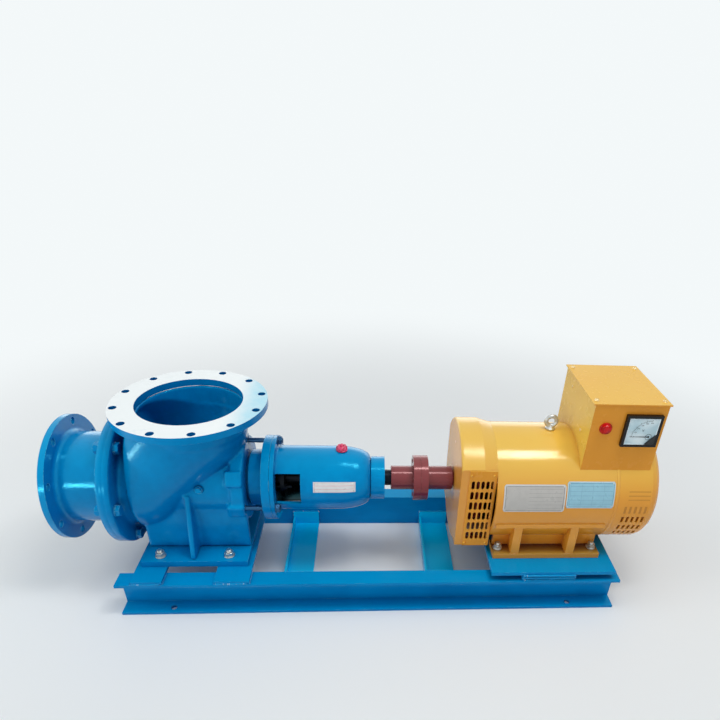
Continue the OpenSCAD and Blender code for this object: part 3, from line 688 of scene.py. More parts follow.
class Shape:
    """A mesh under construction, in millimetres."""

    def __init__(self) -> None:
        """Starts an empty mesh."""
        self.mesh = bmesh.new()

    def ring(self, points: Iterable[Vector]) -> list[Vertex]:
        """Adds vertices at points and returns them."""
        return [self.mesh.verts.new(point) for point in points]

    def skin(self, rings: Sequence[Sequence[Vertex]], closed: bool = False) -> None:
        """Joins rings of equal size, or of a single point, by faces.

        Args:
            rings: Rings of vertices in order.
            closed: Whether the last ring joins the first.
        """
        pairs = list(zip(rings, rings[1:]))
        if closed:
            pairs.append((rings[-1], rings[0]))
        for low, high in pairs:
            count = max(len(low), len(high))
            for i in range(count):
                j = (i + 1) % count
                corners = [low[i % len(low)], low[j % len(low)], high[j % len(high)], high[i % len(high)]]
                unique = list(dict.fromkeys(corners))
                if len(unique) > 2:
                    self.mesh.faces.new(unique)

    def lathe(self, profile: Sequence[Pair], place: Matrix, steps: int = 48,
              outline: Callable[[float, float], float] | None = None) -> Shape:
        """Turns a profile about the local Z axis.

        Args:
            profile: Points of station along the axis and radius; a radius of 0 closes an end.
            place: Where the axis lies.
            steps: Vertices round a ring.
            outline: Optional radius from the angle and the profile's radius, for lobes and flats.

        Returns:
            This shape.
        """
        rings = []
        for station, radius in profile:
            if radius <= 0:
                rings.append(self.ring([place @ Vector((0, 0, station))]))
                continue
            points = []
            for angle in turns(steps):
                reach = outline(angle, radius) if outline else radius
                points.append(place @ Vector((reach * math.cos(angle), reach * math.sin(angle), station)))
            rings.append(self.ring(points))
        self.skin(rings)
        return self

    def hexagon(self, flats: float, height: float, place: Matrix) -> Shape:
        """Adds a chamfered hexagon head or nut standing on the local z = 0.

        Args:
            flats: Width over flats.
            height: Height of the head.
            place: Where it stands.

        Returns:
            This shape.
        """
        chamfer = 0.75
        inner = flats / 2 * 0.96
        sides, tops = [], []
        for angle in turns(36):
            lean = (angle % (math.pi / 3)) - math.pi / 6
            reach = flats / 2 / math.cos(lean)
            drop = (reach - inner) * chamfer
            across = Vector((math.cos(angle), math.sin(angle), 0))
            sides.append((across * reach, height - drop))
            tops.append(across * inner)
        low = self.ring([place @ point for point, _ in sides])
        shoulder = self.ring([place @ (point + Vector((0, 0, level))) for point, level in sides])
        crown = self.ring([place @ (point + Vector((0, 0, height))) for point in tops])
        base = self.ring([place @ Vector((0, 0, 0))])
        peak = self.ring([place @ Vector((0, 0, height))])
        self.skin([base, low, shoulder, crown, peak])
        return self

    def thread(self, diameter: float, start: float, end: float, place: Matrix) -> Shape:
        """Adds a threaded rod's end as rings of crests and roots.

        Args:
            diameter: Outer diameter.
            start: Station of its lower end.
            end: Station of its tip.
            place: Where it stands.

        Returns:
            This shape.
        """
        pitch = 2.0
        crest = diameter / 2
        root = crest - 0.55 * pitch
        profile = [(start, 0.0), (start, root)]
        count = max(1, int((end - start - pitch) / pitch))
        for i in range(count):
            profile += [(start + (i + 0.35) * pitch, crest), (start + (i + 1) * pitch, root)]
        profile += [(end - 1.0, crest - 0.3), (end, crest - 1.4), (end, 0.0)]
        return self.lathe(profile, place, 20)

    def washer(self, outer: float, inner: float, height: float, place: Matrix) -> Shape:
        """Adds a flat washer standing on the local z = 0.

        Args:
            outer: Outer radius.
            inner: Inner radius.
            height: Its height.
            place: Where it stands.

        Returns:
            This shape.
        """
        soft = min(0.5, height / 4)
        profile = [(0.0, inner), (0.0, outer - soft), (soft, outer), (height - soft, outer),
                   (height, outer - soft), (height, inner), (0.0, inner)]
        return self.lathe(profile, place, 32)

    def standing_bolt(self, size: BoltSize, place: Matrix) -> Shape:
        """Adds a washer, a nut and the rest of a thread on the local z = 0.

        Args:
            size: The bolt's sizes.
            place: Where it stands.

        Returns:
            This shape.
        """
        self.washer(*size.washer, place)
        self.hexagon(*size.nut, place @ rise_by(size.washer[2]))
        return self.thread(size.rod, size.below, size.tip, place)

    def bead(self, path: Sequence[Vector], radius: float, seed: int, pitch: float = 4.2) -> Shape:
        """Lays a weld bead with scales along a path, half sunk in the corner it fills.

        Args:
            path: Corner points of the path.
            radius: Mean radius.
            seed: Seed of its unevenness.
            pitch: Distance of the scales.

        Returns:
            This shape.
        """
        chance = random.Random(seed)
        lengths = [(b - a).length for a, b in zip(path, path[1:])]
        total = sum(lengths)
        count = max(4, int(total / (pitch / 3)))
        rings = []
        for i in range(count + 1):
            run = total * i / count
            left = run
            for (a, b), length in zip(zip(path, path[1:]), lengths):
                if left <= length + 1e-6:
                    break
                left -= length
            along = (b - a).normalized()
            centre = a.lerp(b, min(1.0, left / length))
            side = along.orthogonal().normalized()
            rise = along.cross(side)
            scale = 0.86 + 0.20 * abs(math.sin(math.pi * run / pitch)) + 0.10 * chance.uniform(-1, 1)
            scale *= 0.55 if i in (0, count) else 1.0
            sway = Vector([0.22 * radius * noise.noise(centre * 0.07 + Vector((k * 9.1, seed, 0)))
                           for k in range(3)])
            rings.append(self.ring(centre + sway + (side * math.cos(t) + rise * math.sin(t)) * radius * scale
                                   for t in turns(8)))
        self.skin([self.ring([path[0]])] + rings + [self.ring([path[-1]])])
        return self

    def socket_screw(self, radius: float, height: float, place: Matrix) -> Shape:
        """Adds a domed screw head with a round socket, standing on the local z = 0.

        Args:
            radius: Its radius.
            height: Its height.
            place: Where it stands.

        Returns:
            This shape.
        """
        hollow = radius * 0.4
        profile = [(0.0, 0.0), (0.0, radius), (height * 0.45, radius), (height * 0.8, radius * 0.86),
                   (height, radius * 0.6), (height, hollow), (height * 0.45, hollow), (height * 0.45, 0.0)]
        return self.lathe(profile, place, 28)

    def hoop(self, radius: float, bar: float, place: Matrix, thick: float) -> Shape:
        """Adds a ring round the local Z.

        Args:
            radius: Radius of its centre line.
            bar: Radius of its bar.
            place: Where it lies.
            thick: Factor by which the bar is thicker towards the local -Y.

        Returns:
            This shape.
        """
        rings = []
        for turn in turns(64):
            out = Vector((math.cos(turn), math.sin(turn), 0))
            size = bar * (1 + (thick - 1) * max(0.0, -math.sin(turn)) ** 2)
            rings.append(self.ring([
                place @ (out * (radius + size * math.cos(t)) + Vector((0, 0, size * math.sin(t))))
                for t in turns(24)]))
        self.skin(rings, closed=True)
        return self

    def curved_plate(self, along: Pair, span: Pair, radius: float,
                     thick: float, index: int) -> Shape:
        """Adds a sheet bent round the shaft's centre line.

        Args:
            along: Its ends on X.
            span: Its lowest and highest angle, from the front towards the top.
            radius: Radius of its inner face.
            thick: Its thickness.
            index: Material slot of its faces.

        Returns:
            This shape.
        """
        corner, strips = 4.0, 14
        centre_x, middle = (along[0] + along[1]) / 2, (span[0] + span[1]) / 2
        half_x, half_a = (along[1] - along[0]) / 2, math.radians(span[1] - span[0]) / 2 * radius
        before = len(self.mesh.faces)
        loops = []
        for level in (thick, 0.0):
            grid = []
            for j in range(strips + 1):
                reach = (j / strips * 2 - 1) * half_a
                slack = max(0.0, abs(reach) - (half_a - corner))
                width = half_x - corner + math.sqrt(max(0.0, corner ** 2 - slack ** 2))
                degrees = middle + math.degrees(reach / radius)
                grid.append(self.ring(round_shaft(radius + level, degrees, centre_x + side * width)
                                      for side in (-1, 1)))
            for low, high in zip(grid, grid[1:]):
                corners = [low[0], low[1], high[1], high[0]]
                self.mesh.faces.new(corners if level else corners[::-1])
            loops.append([row[0] for row in grid] + [row[1] for row in reversed(grid)])
        self.skin(loops[::-1])
        self.mesh.faces.ensure_lookup_table()
        for face in self.mesh.faces[before:]:
            face.material_index = index
        return self

    def text(self, words: str, size: float, place: Matrix) -> Shape:
        """Adds plain figures, centred on the local origin and reading along the local X.

        Args:
            words: The figures.
            size: Their size.
            place: Where they lie.

        Returns:
            This shape.
        """
        curve = bpy.data.curves.new("figures", "FONT")
        curve.body = words
        curve.size, curve.extrude, curve.resolution_u = size, 0.15, 3
        curve.align_x = curve.align_y = "CENTER"
        holder = link("figures", curve)
        mesh = built_mesh(holder)
        mesh.transform(place)
        self.mesh.from_mesh(mesh)
        bpy.data.objects.remove(holder)
        bpy.data.curves.remove(curve)
        bpy.data.meshes.remove(mesh)
        return self

    def slab(self, outline: Sequence[Pair], depth: float, place: Matrix,
             soft: float = 0.0) -> Shape:
        """Adds a flat outline given a depth along the local Z, with its top edge softened.

        Args:
            outline: Corner points, anticlockwise.
            depth: Its depth.
            place: Where it lies.
            soft: Width of the softened edge.

        Returns:
            This shape.
        """
        centre = Vector((sum(p[0] for p in outline), sum(p[1] for p in outline), 0)) / len(outline)
        flat = [Vector((x, y, 0)) for x, y in outline]
        levels = [(0.0, 0.0), (depth - soft, 0.0), (depth - soft * 0.3, soft * 0.3), (depth, soft)]
        rings = []
        for level, inset in levels if soft else levels[:1] + [(depth, 0.0)]:
            rings.append(self.ring([
                place @ (p + (centre - p).normalized() * inset * 1.3 + Vector((0, 0, level))) for p in flat]))
        self.skin(rings)
        self.mesh.faces.new(list(reversed(rings[0])))
        self.mesh.faces.new(rings[-1])
        return self

    def to_object(self, name: str, sharp: float = 32.0) -> Piece:
        """Turns the mesh into an object in metres, smooth but for its sharp edges.

        Args:
            name: The object's name.
            sharp: Angle in degrees above which an edge stays sharp.

        Returns:
            The new object.
        """
        bmesh.ops.recalc_face_normals(self.mesh, faces=self.mesh.faces[:])
        for face in self.mesh.faces:
            face.smooth = True
        for edge in self.mesh.edges:
            edge.smooth = len(edge.link_faces) == 2 and edge.calc_face_angle(0.0) < math.radians(sharp)
        bmesh.ops.scale(self.mesh, vec=(MM, MM, MM), verts=self.mesh.verts[:])
        data = bpy.data.meshes.new(name)
        self.mesh.to_mesh(data)
        self.mesh.free()
        return link(name, data)


def upright(x: float, y: float, z: float) -> Matrix:
    """A place whose local Z points up."""
    return Matrix.Translation((x, y, z))


def facing_front(x: float, y: float, z: float) -> Matrix:
    """A place whose local Z points to the front and whose local Y points up."""
    return Matrix.Translation((x, y, z)) @ Matrix.Rotation(math.radians(90), 4, "X")


def along_shaft(x: float, y: float = 0.0, z: float = SHAFT_Z, back: bool = False) -> Matrix:
    """A place whose local Z points along +X, or along -X with back set."""
    return Matrix.Translation((x, y, z)) @ Matrix.Rotation(math.radians(-90 if back else 90), 4, "Y")


def round_shaft(radius: float, degrees: float, x: float) -> Point:
    """A point at an angle round the shaft, counted from the front towards the top."""
    angle = math.radians(degrees)
    return x, -radius * math.cos(angle), SHAFT_Z + radius * math.sin(angle)


def outward(radius: float, degrees: float, x: float) -> Matrix:
    """A place on a circle round the shaft whose local Z points away from the shaft."""
    turn = Matrix.Rotation(math.radians(90 - degrees), 4, "X")
    return Matrix.Translation(round_shaft(radius, degrees, x)) @ turn


def plate_corners(along: Pair, span: Pair, inset: Pair) -> list[Pair]:
    """Places on X and angles at the corners of a plate bent round the shaft, moved in by an inset."""
    return [(x, angle) for x in (along[0] + inset[0], along[1] - inset[0])
            for angle in (span[0] + inset[1], span[1] - inset[1])]


@dataclass
class Workshop:
    """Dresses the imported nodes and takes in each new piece."""

    frame: dict[str, Any]
    stock: dict[str, Material] = field(default_factory=dict)

    def finish(self, choice: Finish) -> Material:
        """The material of a finish, made on its first use.

        Args:
            choice: The finish.

        Returns:
            The material.
        """
        if choice.name not in self.stock:
            self.stock[choice.name] = choice.value.make(choice.name.lower())
        return self.stock[choice.name]

    def dress(self, names: Iterable[str], choice: Finish) -> None:
        """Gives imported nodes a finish.

        Args:
            names: The nodes' names.
            choice: The finish.
        """
        made = self.finish(choice)
        for name in names:
            piece = self.frame["nodes"][name]
            for slot in piece.material_slots:
                slot.material = made
            LOG.info("dressed %s in %s", name, made.name)

    def take(self, piece: Piece, material: Finish | Sequence[Material],
             body: str = FIXED, replaces: Sequence[str] = ()) -> None:
        """Takes in a new piece.

        Args:
            piece: The piece.
            material: Its finish, or the materials made for it.
            body: The body it rides on.
            replaces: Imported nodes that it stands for.
        """
        for made in (self.finish(material),) if isinstance(material, Finish) else material:
            piece.data.materials.append(made)
        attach(piece, body)
        if replaces:
            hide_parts(*replaces)
        LOG.info("added %s with %d faces", piece.name, len(piece.data.polygons))

    def cast_copy(self, node: str, name: str, grid: float, rounds: int) -> Piece:
        """A copy of a node's mesh with the soft corners and fillets of a casting.

        Args:
            node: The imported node.
            name: The new piece's name.
            grid: Size of the cells in which it is rebuilt.
            rounds: Smoothing passes.

        Returns:
            The new piece.
        """
        copy = link(name, self.frame["nodes"][node].data.copy())
        remesh = copy.modifiers.new("cells", "REMESH")
        remesh.mode = "VOXEL"
        remesh.voxel_size = grid * MM
        remesh.use_smooth_shade = True
        smooth = copy.modifiers.new("fillets", "SMOOTH")
        smooth.factor = 0.5
        smooth.iterations = rounds
        mesh, plain = built_mesh(copy), copy.data
        copy.modifiers.clear()
        copy.data = mesh
        mesh.materials.clear()
        bpy.data.meshes.remove(plain)
        return copy


@dataclass(frozen=True)
class PhotoCamera:
    """The camera that took the photograph, fitted to 52 of its points."""

    place: Point = (-26.8, -1538.8, 1372.5)
    yaw: float = 6.41
    pitch: float = 33.60
    roll: float = 3.89
    focal: float = 579.85
    centre: Pair = (423.03, 476.59)
    picture: float = 720.0
    sensor: float = 36.0

    def build(self) -> None:
        """Adds the camera and makes it the scene's own."""
        yaw, pitch, roll = (math.radians(v) for v in (self.yaw, self.pitch, self.roll))
        ahead = Vector((math.sin(yaw) * math.cos(pitch), math.cos(yaw) * math.cos(pitch), -math.sin(pitch)))
        level = Vector((math.cos(yaw), -math.sin(yaw), 0))
        above = level.cross(ahead)
        right = level * math.cos(roll) + above * math.sin(roll)
        up = above * math.cos(roll) - level * math.sin(roll)
        data = bpy.data.cameras.new("photo_camera")
        data.sensor_fit = "HORIZONTAL"
        data.sensor_width = self.sensor
        data.lens = self.focal / self.picture * self.sensor
        data.shift_x = 0.5 - self.centre[0] / self.picture
        data.shift_y = self.centre[1] / self.picture - 0.5
        data.clip_end = 60.0
        camera = link("photo_camera", data)
        turn = Matrix((right, up, -ahead)).transposed().to_4x4()
        camera.matrix_world = Matrix.Translation(Vector(self.place) * MM) @ turn
        bpy.context.scene.camera = camera


@dataclass(frozen=True)
class Lamp:
    """One soft area lamp."""

    name: str
    place: Point
    aim: Point
    size: Pair
    power: float
    colour: Colour = (1.0, 1.0, 1.0)
    gloss: bool = True


@dataclass
class Studio:
    """Pale floor, even sky, and lamps placed for the shading and glints of the photograph."""

    sky: float = 0.34
    backdrop: Colour = (0.90, 0.94, 0.95)
    floor_colour: Colour = srgb(240, 244, 245)
    floor_reach: float = 14.0
    floor_blend: Pair = (1.0, 2.8)
    lamps: tuple[Lamp, ...] = (
        Lamp("key_overhead", (-450.0, -420.0, 3300.0), (-450.0, 0.0, 400.0), (4200.0, 2200.0), 22.0,
             gloss=False),
        Lamp("skylight_left", (-3000.0, -300.0, 2500.0), (0.0, 0.0, 400.0), (1500.0, 1500.0), 19.0,
             gloss=False),
        Lamp("fill_front", (900.0, -3600.0, 1900.0), (900.0, 0.0, 300.0), (2600.0, 1600.0), 11.0,
             gloss=False),
        Lamp("ceiling_lamp_right", (1215.0, -560.0, 3300.0), (1215.0, 0.0, 400.0), (480.0, 800.0), 23.0),
        Lamp("ceiling_lamp_middle", (420.0, -500.0, 3300.0), (420.0, 0.0, 400.0), (760.0, 420.0), 12.0),
        Lamp("window_left", (-3400.0, -900.0, 330.0), (-600.0, -100.0, 400.0), (420.0, 600.0), 16.0,
             (1.0, 1.0, 0.92)),
        Lamp("window_front_left", (-2520.0, -3600.0, 960.0), (-900.0, 0.0, 380.0), (560.0, 420.0), 15.0),
        Lamp("window_behind", (-300.0, 3500.0, 850.0), (-300.0, 0.0, 850.0), (4800.0, 1500.0), 28.0),
    )

    def build(self) -> None:
        """Adds the floor, the sky and the lamps."""
        self.build_floor()
        self.build_sky()
        for lamp in self.lamps:
            self.build_lamp(lamp)
        bpy.context.scene.view_settings.view_transform = "Standard"

    @staticmethod
    def seen_ray(bench: Bench) -> Wire:
        """One on the rays by which the backdrop is seen: straight, in gloss and through glass.

        Args:
            bench: The material's bench.

        Returns:
            The mask.
        """
        rays = [bench.add("ShaderNodeLightPath", output=f"Is {kind} Ray")
                for kind in ("Camera", "Glossy", "Transmission")]
        return bench.maths("MAXIMUM", bench.maths("MAXIMUM", rays[0], rays[1]), rays[2])

    def build_floor(self) -> None:
        """Adds the floor, which keeps the shadow and runs out into the backdrop's colour."""
        bench = Bench("studio_floor")
        lit = bench.add("ShaderNodeBsdfPrincipled", None, {
            "Base Color": self.floor_colour, "Roughness": 0.9, "Specular IOR Level": 0.1})
        far = bench.add("ShaderNodeEmission", None, {"Color": self.backdrop, "Strength": 1.0})
        away = bench.vector("LENGTH", bench.object_place())
        share = away.ramp(*self.floor_blend) * self.seen_ray(bench)
        both = bench.add("ShaderNodeMixShader", None, {0: share, 1: lit, 2: far})
        bench.add("ShaderNodeOutputMaterial", None, {"Surface": both})
        mesh = bpy.data.meshes.new("floor")
        reach = self.floor_reach
        corners = [(x * reach, y * reach, 0) for x, y in ((-1, -1), (1, -1), (1, 1), (-1, 1))]
        mesh.from_pydata(corners, [], [(0, 1, 2, 3)])
        mesh.materials.append(bench.material)
        link("floor", mesh)

    def build_sky(self) -> None:
        """Sets an even sky that shows as the backdrop's colour."""
        world = bpy.data.worlds.new("studio_sky")
        world.use_nodes = True
        bench = Bench.on_tree(world.node_tree)
        even = bench.add("ShaderNodeBackground", None, {"Color": (0.96, 0.98, 1.0), "Strength": self.sky})
        shown = bench.add("ShaderNodeBackground", None, {"Color": self.backdrop, "Strength": 1.0})
        both = bench.add("ShaderNodeMixShader", None, {0: self.seen_ray(bench), 1: even, 2: shown})
        bench.add("ShaderNodeOutputWorld", None, {"Surface": both})
        bpy.context.scene.world = world

    @staticmethod
    def build_lamp(lamp: Lamp) -> None:
        """Adds one lamp and turns it to its aim.

        Args:
            lamp: The lamp.
        """
        data = bpy.data.lights.new(lamp.name, "AREA")
        data.shape = "RECTANGLE"
        data.size, data.size_y = (side * MM for side in lamp.size)
        data.energy = lamp.power
        data.color = lamp.colour
        item = link(lamp.name, data)
        place = Vector(lamp.place) * MM
        item.location = place
        item.visible_glossy = lamp.gloss
        item.rotation_euler = (Vector(lamp.aim) * MM - place).to_track_quat("-Z", "Y").to_euler()


@dataclass
class Skid:
    """Welded frame under the set."""

    bead: float = 3.6
    weld_reach: float = 52.0

    def build(self, shop: Workshop) -> None:
        """Dresses the skid and lays its welds.

        Args:
            shop: The workshop that takes the pieces in.
        """
        shop.dress(["skid_front_beam", "skid_rear_beam"], Finish.ROLLED_BLUE)
        shop.dress(["cross_member_left", "cross_member_right"], Finish.CROSS_BLUE)
        shop.dress(["turbine_bearer_left", "turbine_bearer_right", "alternator_bed_plate",
                    "bed_plate_packers"], Finish.PLATE_BLUE)
        for welds in (self.bearer_welds(), self.cross_welds(), self.packer_welds()):
            shop.take(welds, Finish.WELD_BLUE)

    def weld(self, shape: Shape, start: Point, end: Point, seed: int, share: float = 1.0,
             pitch: float = 4.2) -> None:
        """Lays one straight bead, its radius a share of the usual one."""
        shape.bead([Vector(start), Vector(end)], self.bead * share, seed, pitch)

    @staticmethod
    def corners(node: str) -> tuple[Vector, Vector]:
        """A node's box in millimetres."""
        low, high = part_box(node)
        return low / MM, high / MM

    def bearer_welds(self) -> Piece:
        """Beads along the ends and edges of the turbine's bearers.

        Returns:
            The new piece.
        """
        shape = Shape()
        for seed, node in enumerate(("turbine_bearer_left", "turbine_bearer_right")):
            low, high = self.corners(node)
            level = low.z + 0.6
            for end, y in enumerate((low.y, high.y)):
                inner = y + (self.weld_reach if end == 0 else -self.weld_reach)
                self.weld(shape, (low.x + 4, y, level), (high.x - 6, y, level), 11 + seed + end)
                for edge, x in enumerate((high.x, low.x)):
                    self.weld(shape, (x, y, level), (x, inner, level), 21 + 10 * edge + seed + end, 0.8)
        return shape.to_object("bearer_welds", 60)

    def cross_welds(self) -> Piece:
        """Beads where the cross members meet the beams' webs.

        Returns:
            The new piece.
        """
        shape = Shape()
        for seed, node in enumerate(("cross_member_left", "cross_member_right")):
            low, high = self.corners(node)
            for y in (low.y + 0.8, high.y - 0.8):
                path = [(low.x, low.z), (low.x, high.z), (high.x, high.z), (high.x, low.z)]
                shape.bead([Vector((x, y, z)) for x, z in path], self.bead, 41 + seed)
        return shape.to_object("cross_member_welds", 60)

    def packer_welds(self) -> Piece:
        """Rough beads above and below the packers of the bed plate.

        Returns:
            The new piece.
        """
        shape = Shape()
        low, high = self.corners("bed_plate_packers")
        for seed, y in enumerate((low.y, high.y)):
            for level in (low.z + 0.8, (low.z + high.z) / 2, high.z - 0.8):
                ends = (low.x + 3, y, level), (high.x - 3, y, level)
                self.weld(shape, *ends, 51 + seed + int(level), 1.1, 5.5)
        return shape.to_object("packer_welds", 60)


@dataclass
class Turbine:
    """Elbow casing, inlet flange, runner chamber and their bolts."""

    grid: float = 4.0
    fillet_rounds: int = 7
    foot_bolts: tuple[Pair, ...] = ((-656, -152), (-452, -152), (-656, 152), (-452, 152))
    foot_top: float = 150.0
    foot_bolt: BoltSize = BoltSize((16.0, 8.0, 3.0), (24.0, 13.0), 16.0, 24.0)
    joint_x: float = -754.0
    joint_width: float = 18.0
    joint_radius: float = 197.5
    joint_circle: float = 175.0
    joint_bolts: int = 6
    joint_flats: float = 30.0
    joint_head: float = 15.0
    joint_nut: float = 12.0
    joint_washer: float = 2.5
    joint_rod: float = 20.0

    def build(self, shop: Workshop) -> None:
        """Dresses the turbine and adds its finer pieces.

        Args:
            shop: The workshop that takes the pieces in.
        """
        shop.dress(["casing_plug", "stuffing_box"], Finish.CAST_BLUE)
        shop.dress(["runner_chamber"], Finish.CHAMBER_BLUE)
        shop.dress(["turbine_foot_plate"], Finish.PLATE_BLUE)
        shop.dress(["inlet_flange"], Finish.FLANGE_BLUE)
        shop.dress(["runner"], Finish.RUNNER)
        casting = shop.cast_copy("elbow_casing", "elbow_casting", self.grid, self.fillet_rounds)
        shop.take(casting, Finish.CAST_BLUE, replaces=["elbow_casing"])
        shop.take(self.joint_rim(), Finish.TURNED_BLUE)
        shop.take(self.joint_bolting(), Finish.CAST_BLUE, replaces=["chamber_bolts"])
        shop.take(self.foot_bolting(), Finish.ZINC, replaces=["turbine_foot_bolts"])

    def joint_rim(self) -> Piece:
        """Paint that runs over the joint between the chamber's flange and the casing's.

        Returns:
            The new piece.
        """
        half, radius = self.joint_width, self.joint_radius
        profile = [(-half + 1.5, radius - 2.0), (-half + 1.5, radius - 0.4), (-half + 2.5, radius + 0.4),
                   (-1.0, radius + 0.4), (0.0, radius + 0.15), (1.0, radius + 0.4),
                   (half - 2.5, radius + 0.4), (half - 1.5, radius - 0.4), (half - 1.5, radius - 2.0)]
        return Shape().lathe(profile, along_shaft(self.joint_x), 128).to_object("joint_rim_paint", 50)

    def joint_bolting(self) -> Piece:
        """Painted bolts through the joint of chamber and casing.

        Returns:
            The new piece.
        """
        shape = Shape()
        flats, half, washer = self.joint_flats, self.joint_width, self.joint_washer
        for i in range(self.joint_bolts):
            head, nut = (along_shaft(*round_shaft(self.joint_circle, 60 * i, self.joint_x + side * half),
                                     back=side < 0) for side in (-1, 1))
            for place in (head, nut):
                shape.washer(flats * 0.62, self.joint_rod / 2, washer, place)
            for place, height in ((head, self.joint_head), (nut, self.joint_nut)):
                shape.hexagon(flats, height, place @ spin(0.5 * i) @ rise_by(washer))
            shape.thread(self.joint_rod, -2 * half, 12.5, nut)
        return shape.to_object("joint_bolt_set")

    def foot_bolting(self) -> Piece:
        """The four foot bolts with washer, nut and thread.

        Returns:
            The new piece.
        """
        shape = Shape()
        for turn, (x, y) in enumerate(self.foot_bolts):
            shape.standing_bolt(self.foot_bolt, upright(x, y, self.foot_top) @ spin(0.4 * turn))
        return shape.to_object("foot_bolt_set")


@dataclass
class DriveLine:
    """Stuffing box, bearing bracket, shaft and coupling."""

    stud_circle: float = 120.0
    stud_angles: tuple[float, ...] = (-18.0, 102.0, 222.0)
    stud_ends: Pair = (-421.0, -289.0)
    nut_x: float = -305.0
    stud: float = 16.0
    coupling_x: float = 135.0
    coupling_radius: float = 72.0
    coupling_face: float = 23.0
    pin_circle: float = 54.0
    cap_place: Point = (-110.0, 0.0, 440.2)
    window_x: Pair = (-305.0, 74.0)
    window_z: Pair = (305.0, 402.0)
    label: Pair = (-193.0, -67.0)
    label_span: Pair = (6.0, 25.0)
    label_levels: Pair = (0.15, 1.3)
    label_cells: tuple[int, int] = (18, 8)
    rivet_inset: Pair = (5.0, 2.6)
    bracket_radius: float = 100.0
    nose_radius: float = 62.0
    dome: Pair = (-125.0, 103.0)
    dome_power: Pair = (1.02, 0.9)
    land_radius: float = 25.05
    wall: float = 14.0

    def build(self, shop: Workshop) -> None:
        """Dresses the drive line and adds its finer pieces.

        Args:
            shop: The workshop that takes the pieces in.
        """
        shop.dress(["bearing_end_cover"], Finish.TURNED_BLUE)
        shop.take(self.housing(), Finish.TURNED_BLUE, replaces=["bearing_bracket"])
        shop.dress(["gland", "turbine_shaft"], Finish.GREASY)
        shop.dress(["alternator_rotor"], Finish.VARNISH)
        shop.dress(["coupling_half_turbine", "coupling_half_alternator"], Finish.OXIDE_PAINT)
        shop.take(self.tie_rods(), Finish.DARK_STEEL, replaces=["tie_studs"])
        shop.take(self.coupling_pins(), Finish.OXIDE_PAINT, TURNING, ["coupling_pins"])
        shop.take(self.filler_cap(), Finish.RED_CAP, replaces=["oil_filler_plug"])
        plate = BarePlate(srgb(226, 226, 228), srgb(214, 112, 120), self.label, (350, 382), 3, rule=0.8)
        shop.take(self.label_sheet(), (plate.make("bracket_plate"),),
                  replaces=["bracket_label_plate"])
        shop.take(self.label_rivets(), Finish.ZINC)

    def reach(self, x: float) -> float:
        """Outer radius of the bracket's barrel and rounded end at a place along the shaft.

        Args:
            x: Place on X.

        Returns:
            The radius.
        """
        station, fullness = self.dome_power
        along = min(1.0, max(0.0, (x - self.dome[0]) / self.dome[1])) ** (1 / station)
        drop = self.bracket_radius - self.nose_radius
        return self.nose_radius + drop * math.sqrt(max(0.0, 1 - along ** 2)) ** fullness

    def label_sheet(self) -> Piece:
        """The bare label plate, bent over the bracket's barrel and the start of its rounded end.

        Returns:
            The new piece.
        """
        shape = Shape()
        left, right = self.label
        low, high = self.label_span
        columns, rows = self.label_cells
        stations = [left + (right - left) * i / columns for i in range(columns + 1)]
        angles = [low + (high - low) * j / rows for j in range(rows + 1)]
        under, over = ([shape.ring(round_shaft(self.reach(x) + level, angle, x) for x in stations)
                        for angle in angles] for level in self.label_levels)
        for j in range(rows):
            for i in range(columns):
                shape.mesh.faces.new([over[j][i], over[j][i + 1], over[j + 1][i + 1], over[j + 1][i]])
                shape.mesh.faces.new([under[j + 1][i], under[j + 1][i + 1], under[j][i + 1], under[j][i]])

        def rim(grid: list[list[Vertex]]) -> list[Vertex]:
            """The outer vertices of a grid, in order."""
            right, left = [row[-1] for row in grid[1:]], [row[0] for row in grid[-2:0:-1]]
            return grid[0] + right + grid[-1][-2::-1] + left

        shape.skin([rim(under), rim(over)])
        return shape.to_object("bracket_label_sheet", 40)

    def housing(self) -> Piece:
        """The bearing bracket as it is turned: flange, lantern with two windows and a rounded end.

        Returns:
            The new piece.
        """
        bore = self.bracket_radius - self.wall
        barrel, land = self.bracket_radius, self.land_radius
        (start, length), power = self.dome, self.dome_power[0]
        outer = [(-318.0, 129.6), (-317.2, 131.0), (-306.0, 131.0), (-305.0, 130.0), (-305.0, 106.0),
                 (-304.2, 102.6), (-301.5, 100.4), (-298.0, barrel), (-230.8, barrel), (-229.0, barrel),
                 (-180.0, barrel), (start, barrel)]
        bends = [math.radians(90 * k / 14) for k in range(1, 15)]
        outer += [(x, self.reach(x)) for x in (start + length * math.sin(bend) ** power for bend in bends)]
        outer += [(-20.0, self.nose_radius)]
        inner = [(-20.0, land), (-69.0, land), (-69.0, 45.0), (-179.0, 45.0), (-179.0, land),
                 (-224.0, land), (-224.0, bore), (-318.0, bore), (-318.0, 129.6)]
        body = Shape().lathe(outer + inner, along_shaft(0.0), 128).to_object("bearing_housing", 28)
        low, high = self.window_z
        left, width = self.window_x
        for side in (-1, 1):
            reach = self.bracket_radius + 2
            outline = [(left, low), (left + width, low), (left + width, high), (left, high)]
            place = facing_front(0.0, 0.0 if side < 0 else reach, 0.0)
            block = Shape().slab(outline, reach, place).to_object("window_cutter")
            cut = body.modifiers.new("window", "BOOLEAN")
            cut.operation, cut.solver, cut.object = "DIFFERENCE", "EXACT", block
            mesh = built_mesh(body)
            body.modifiers.clear()
            body.data = mesh
            bpy.data.objects.remove(block)
        return body

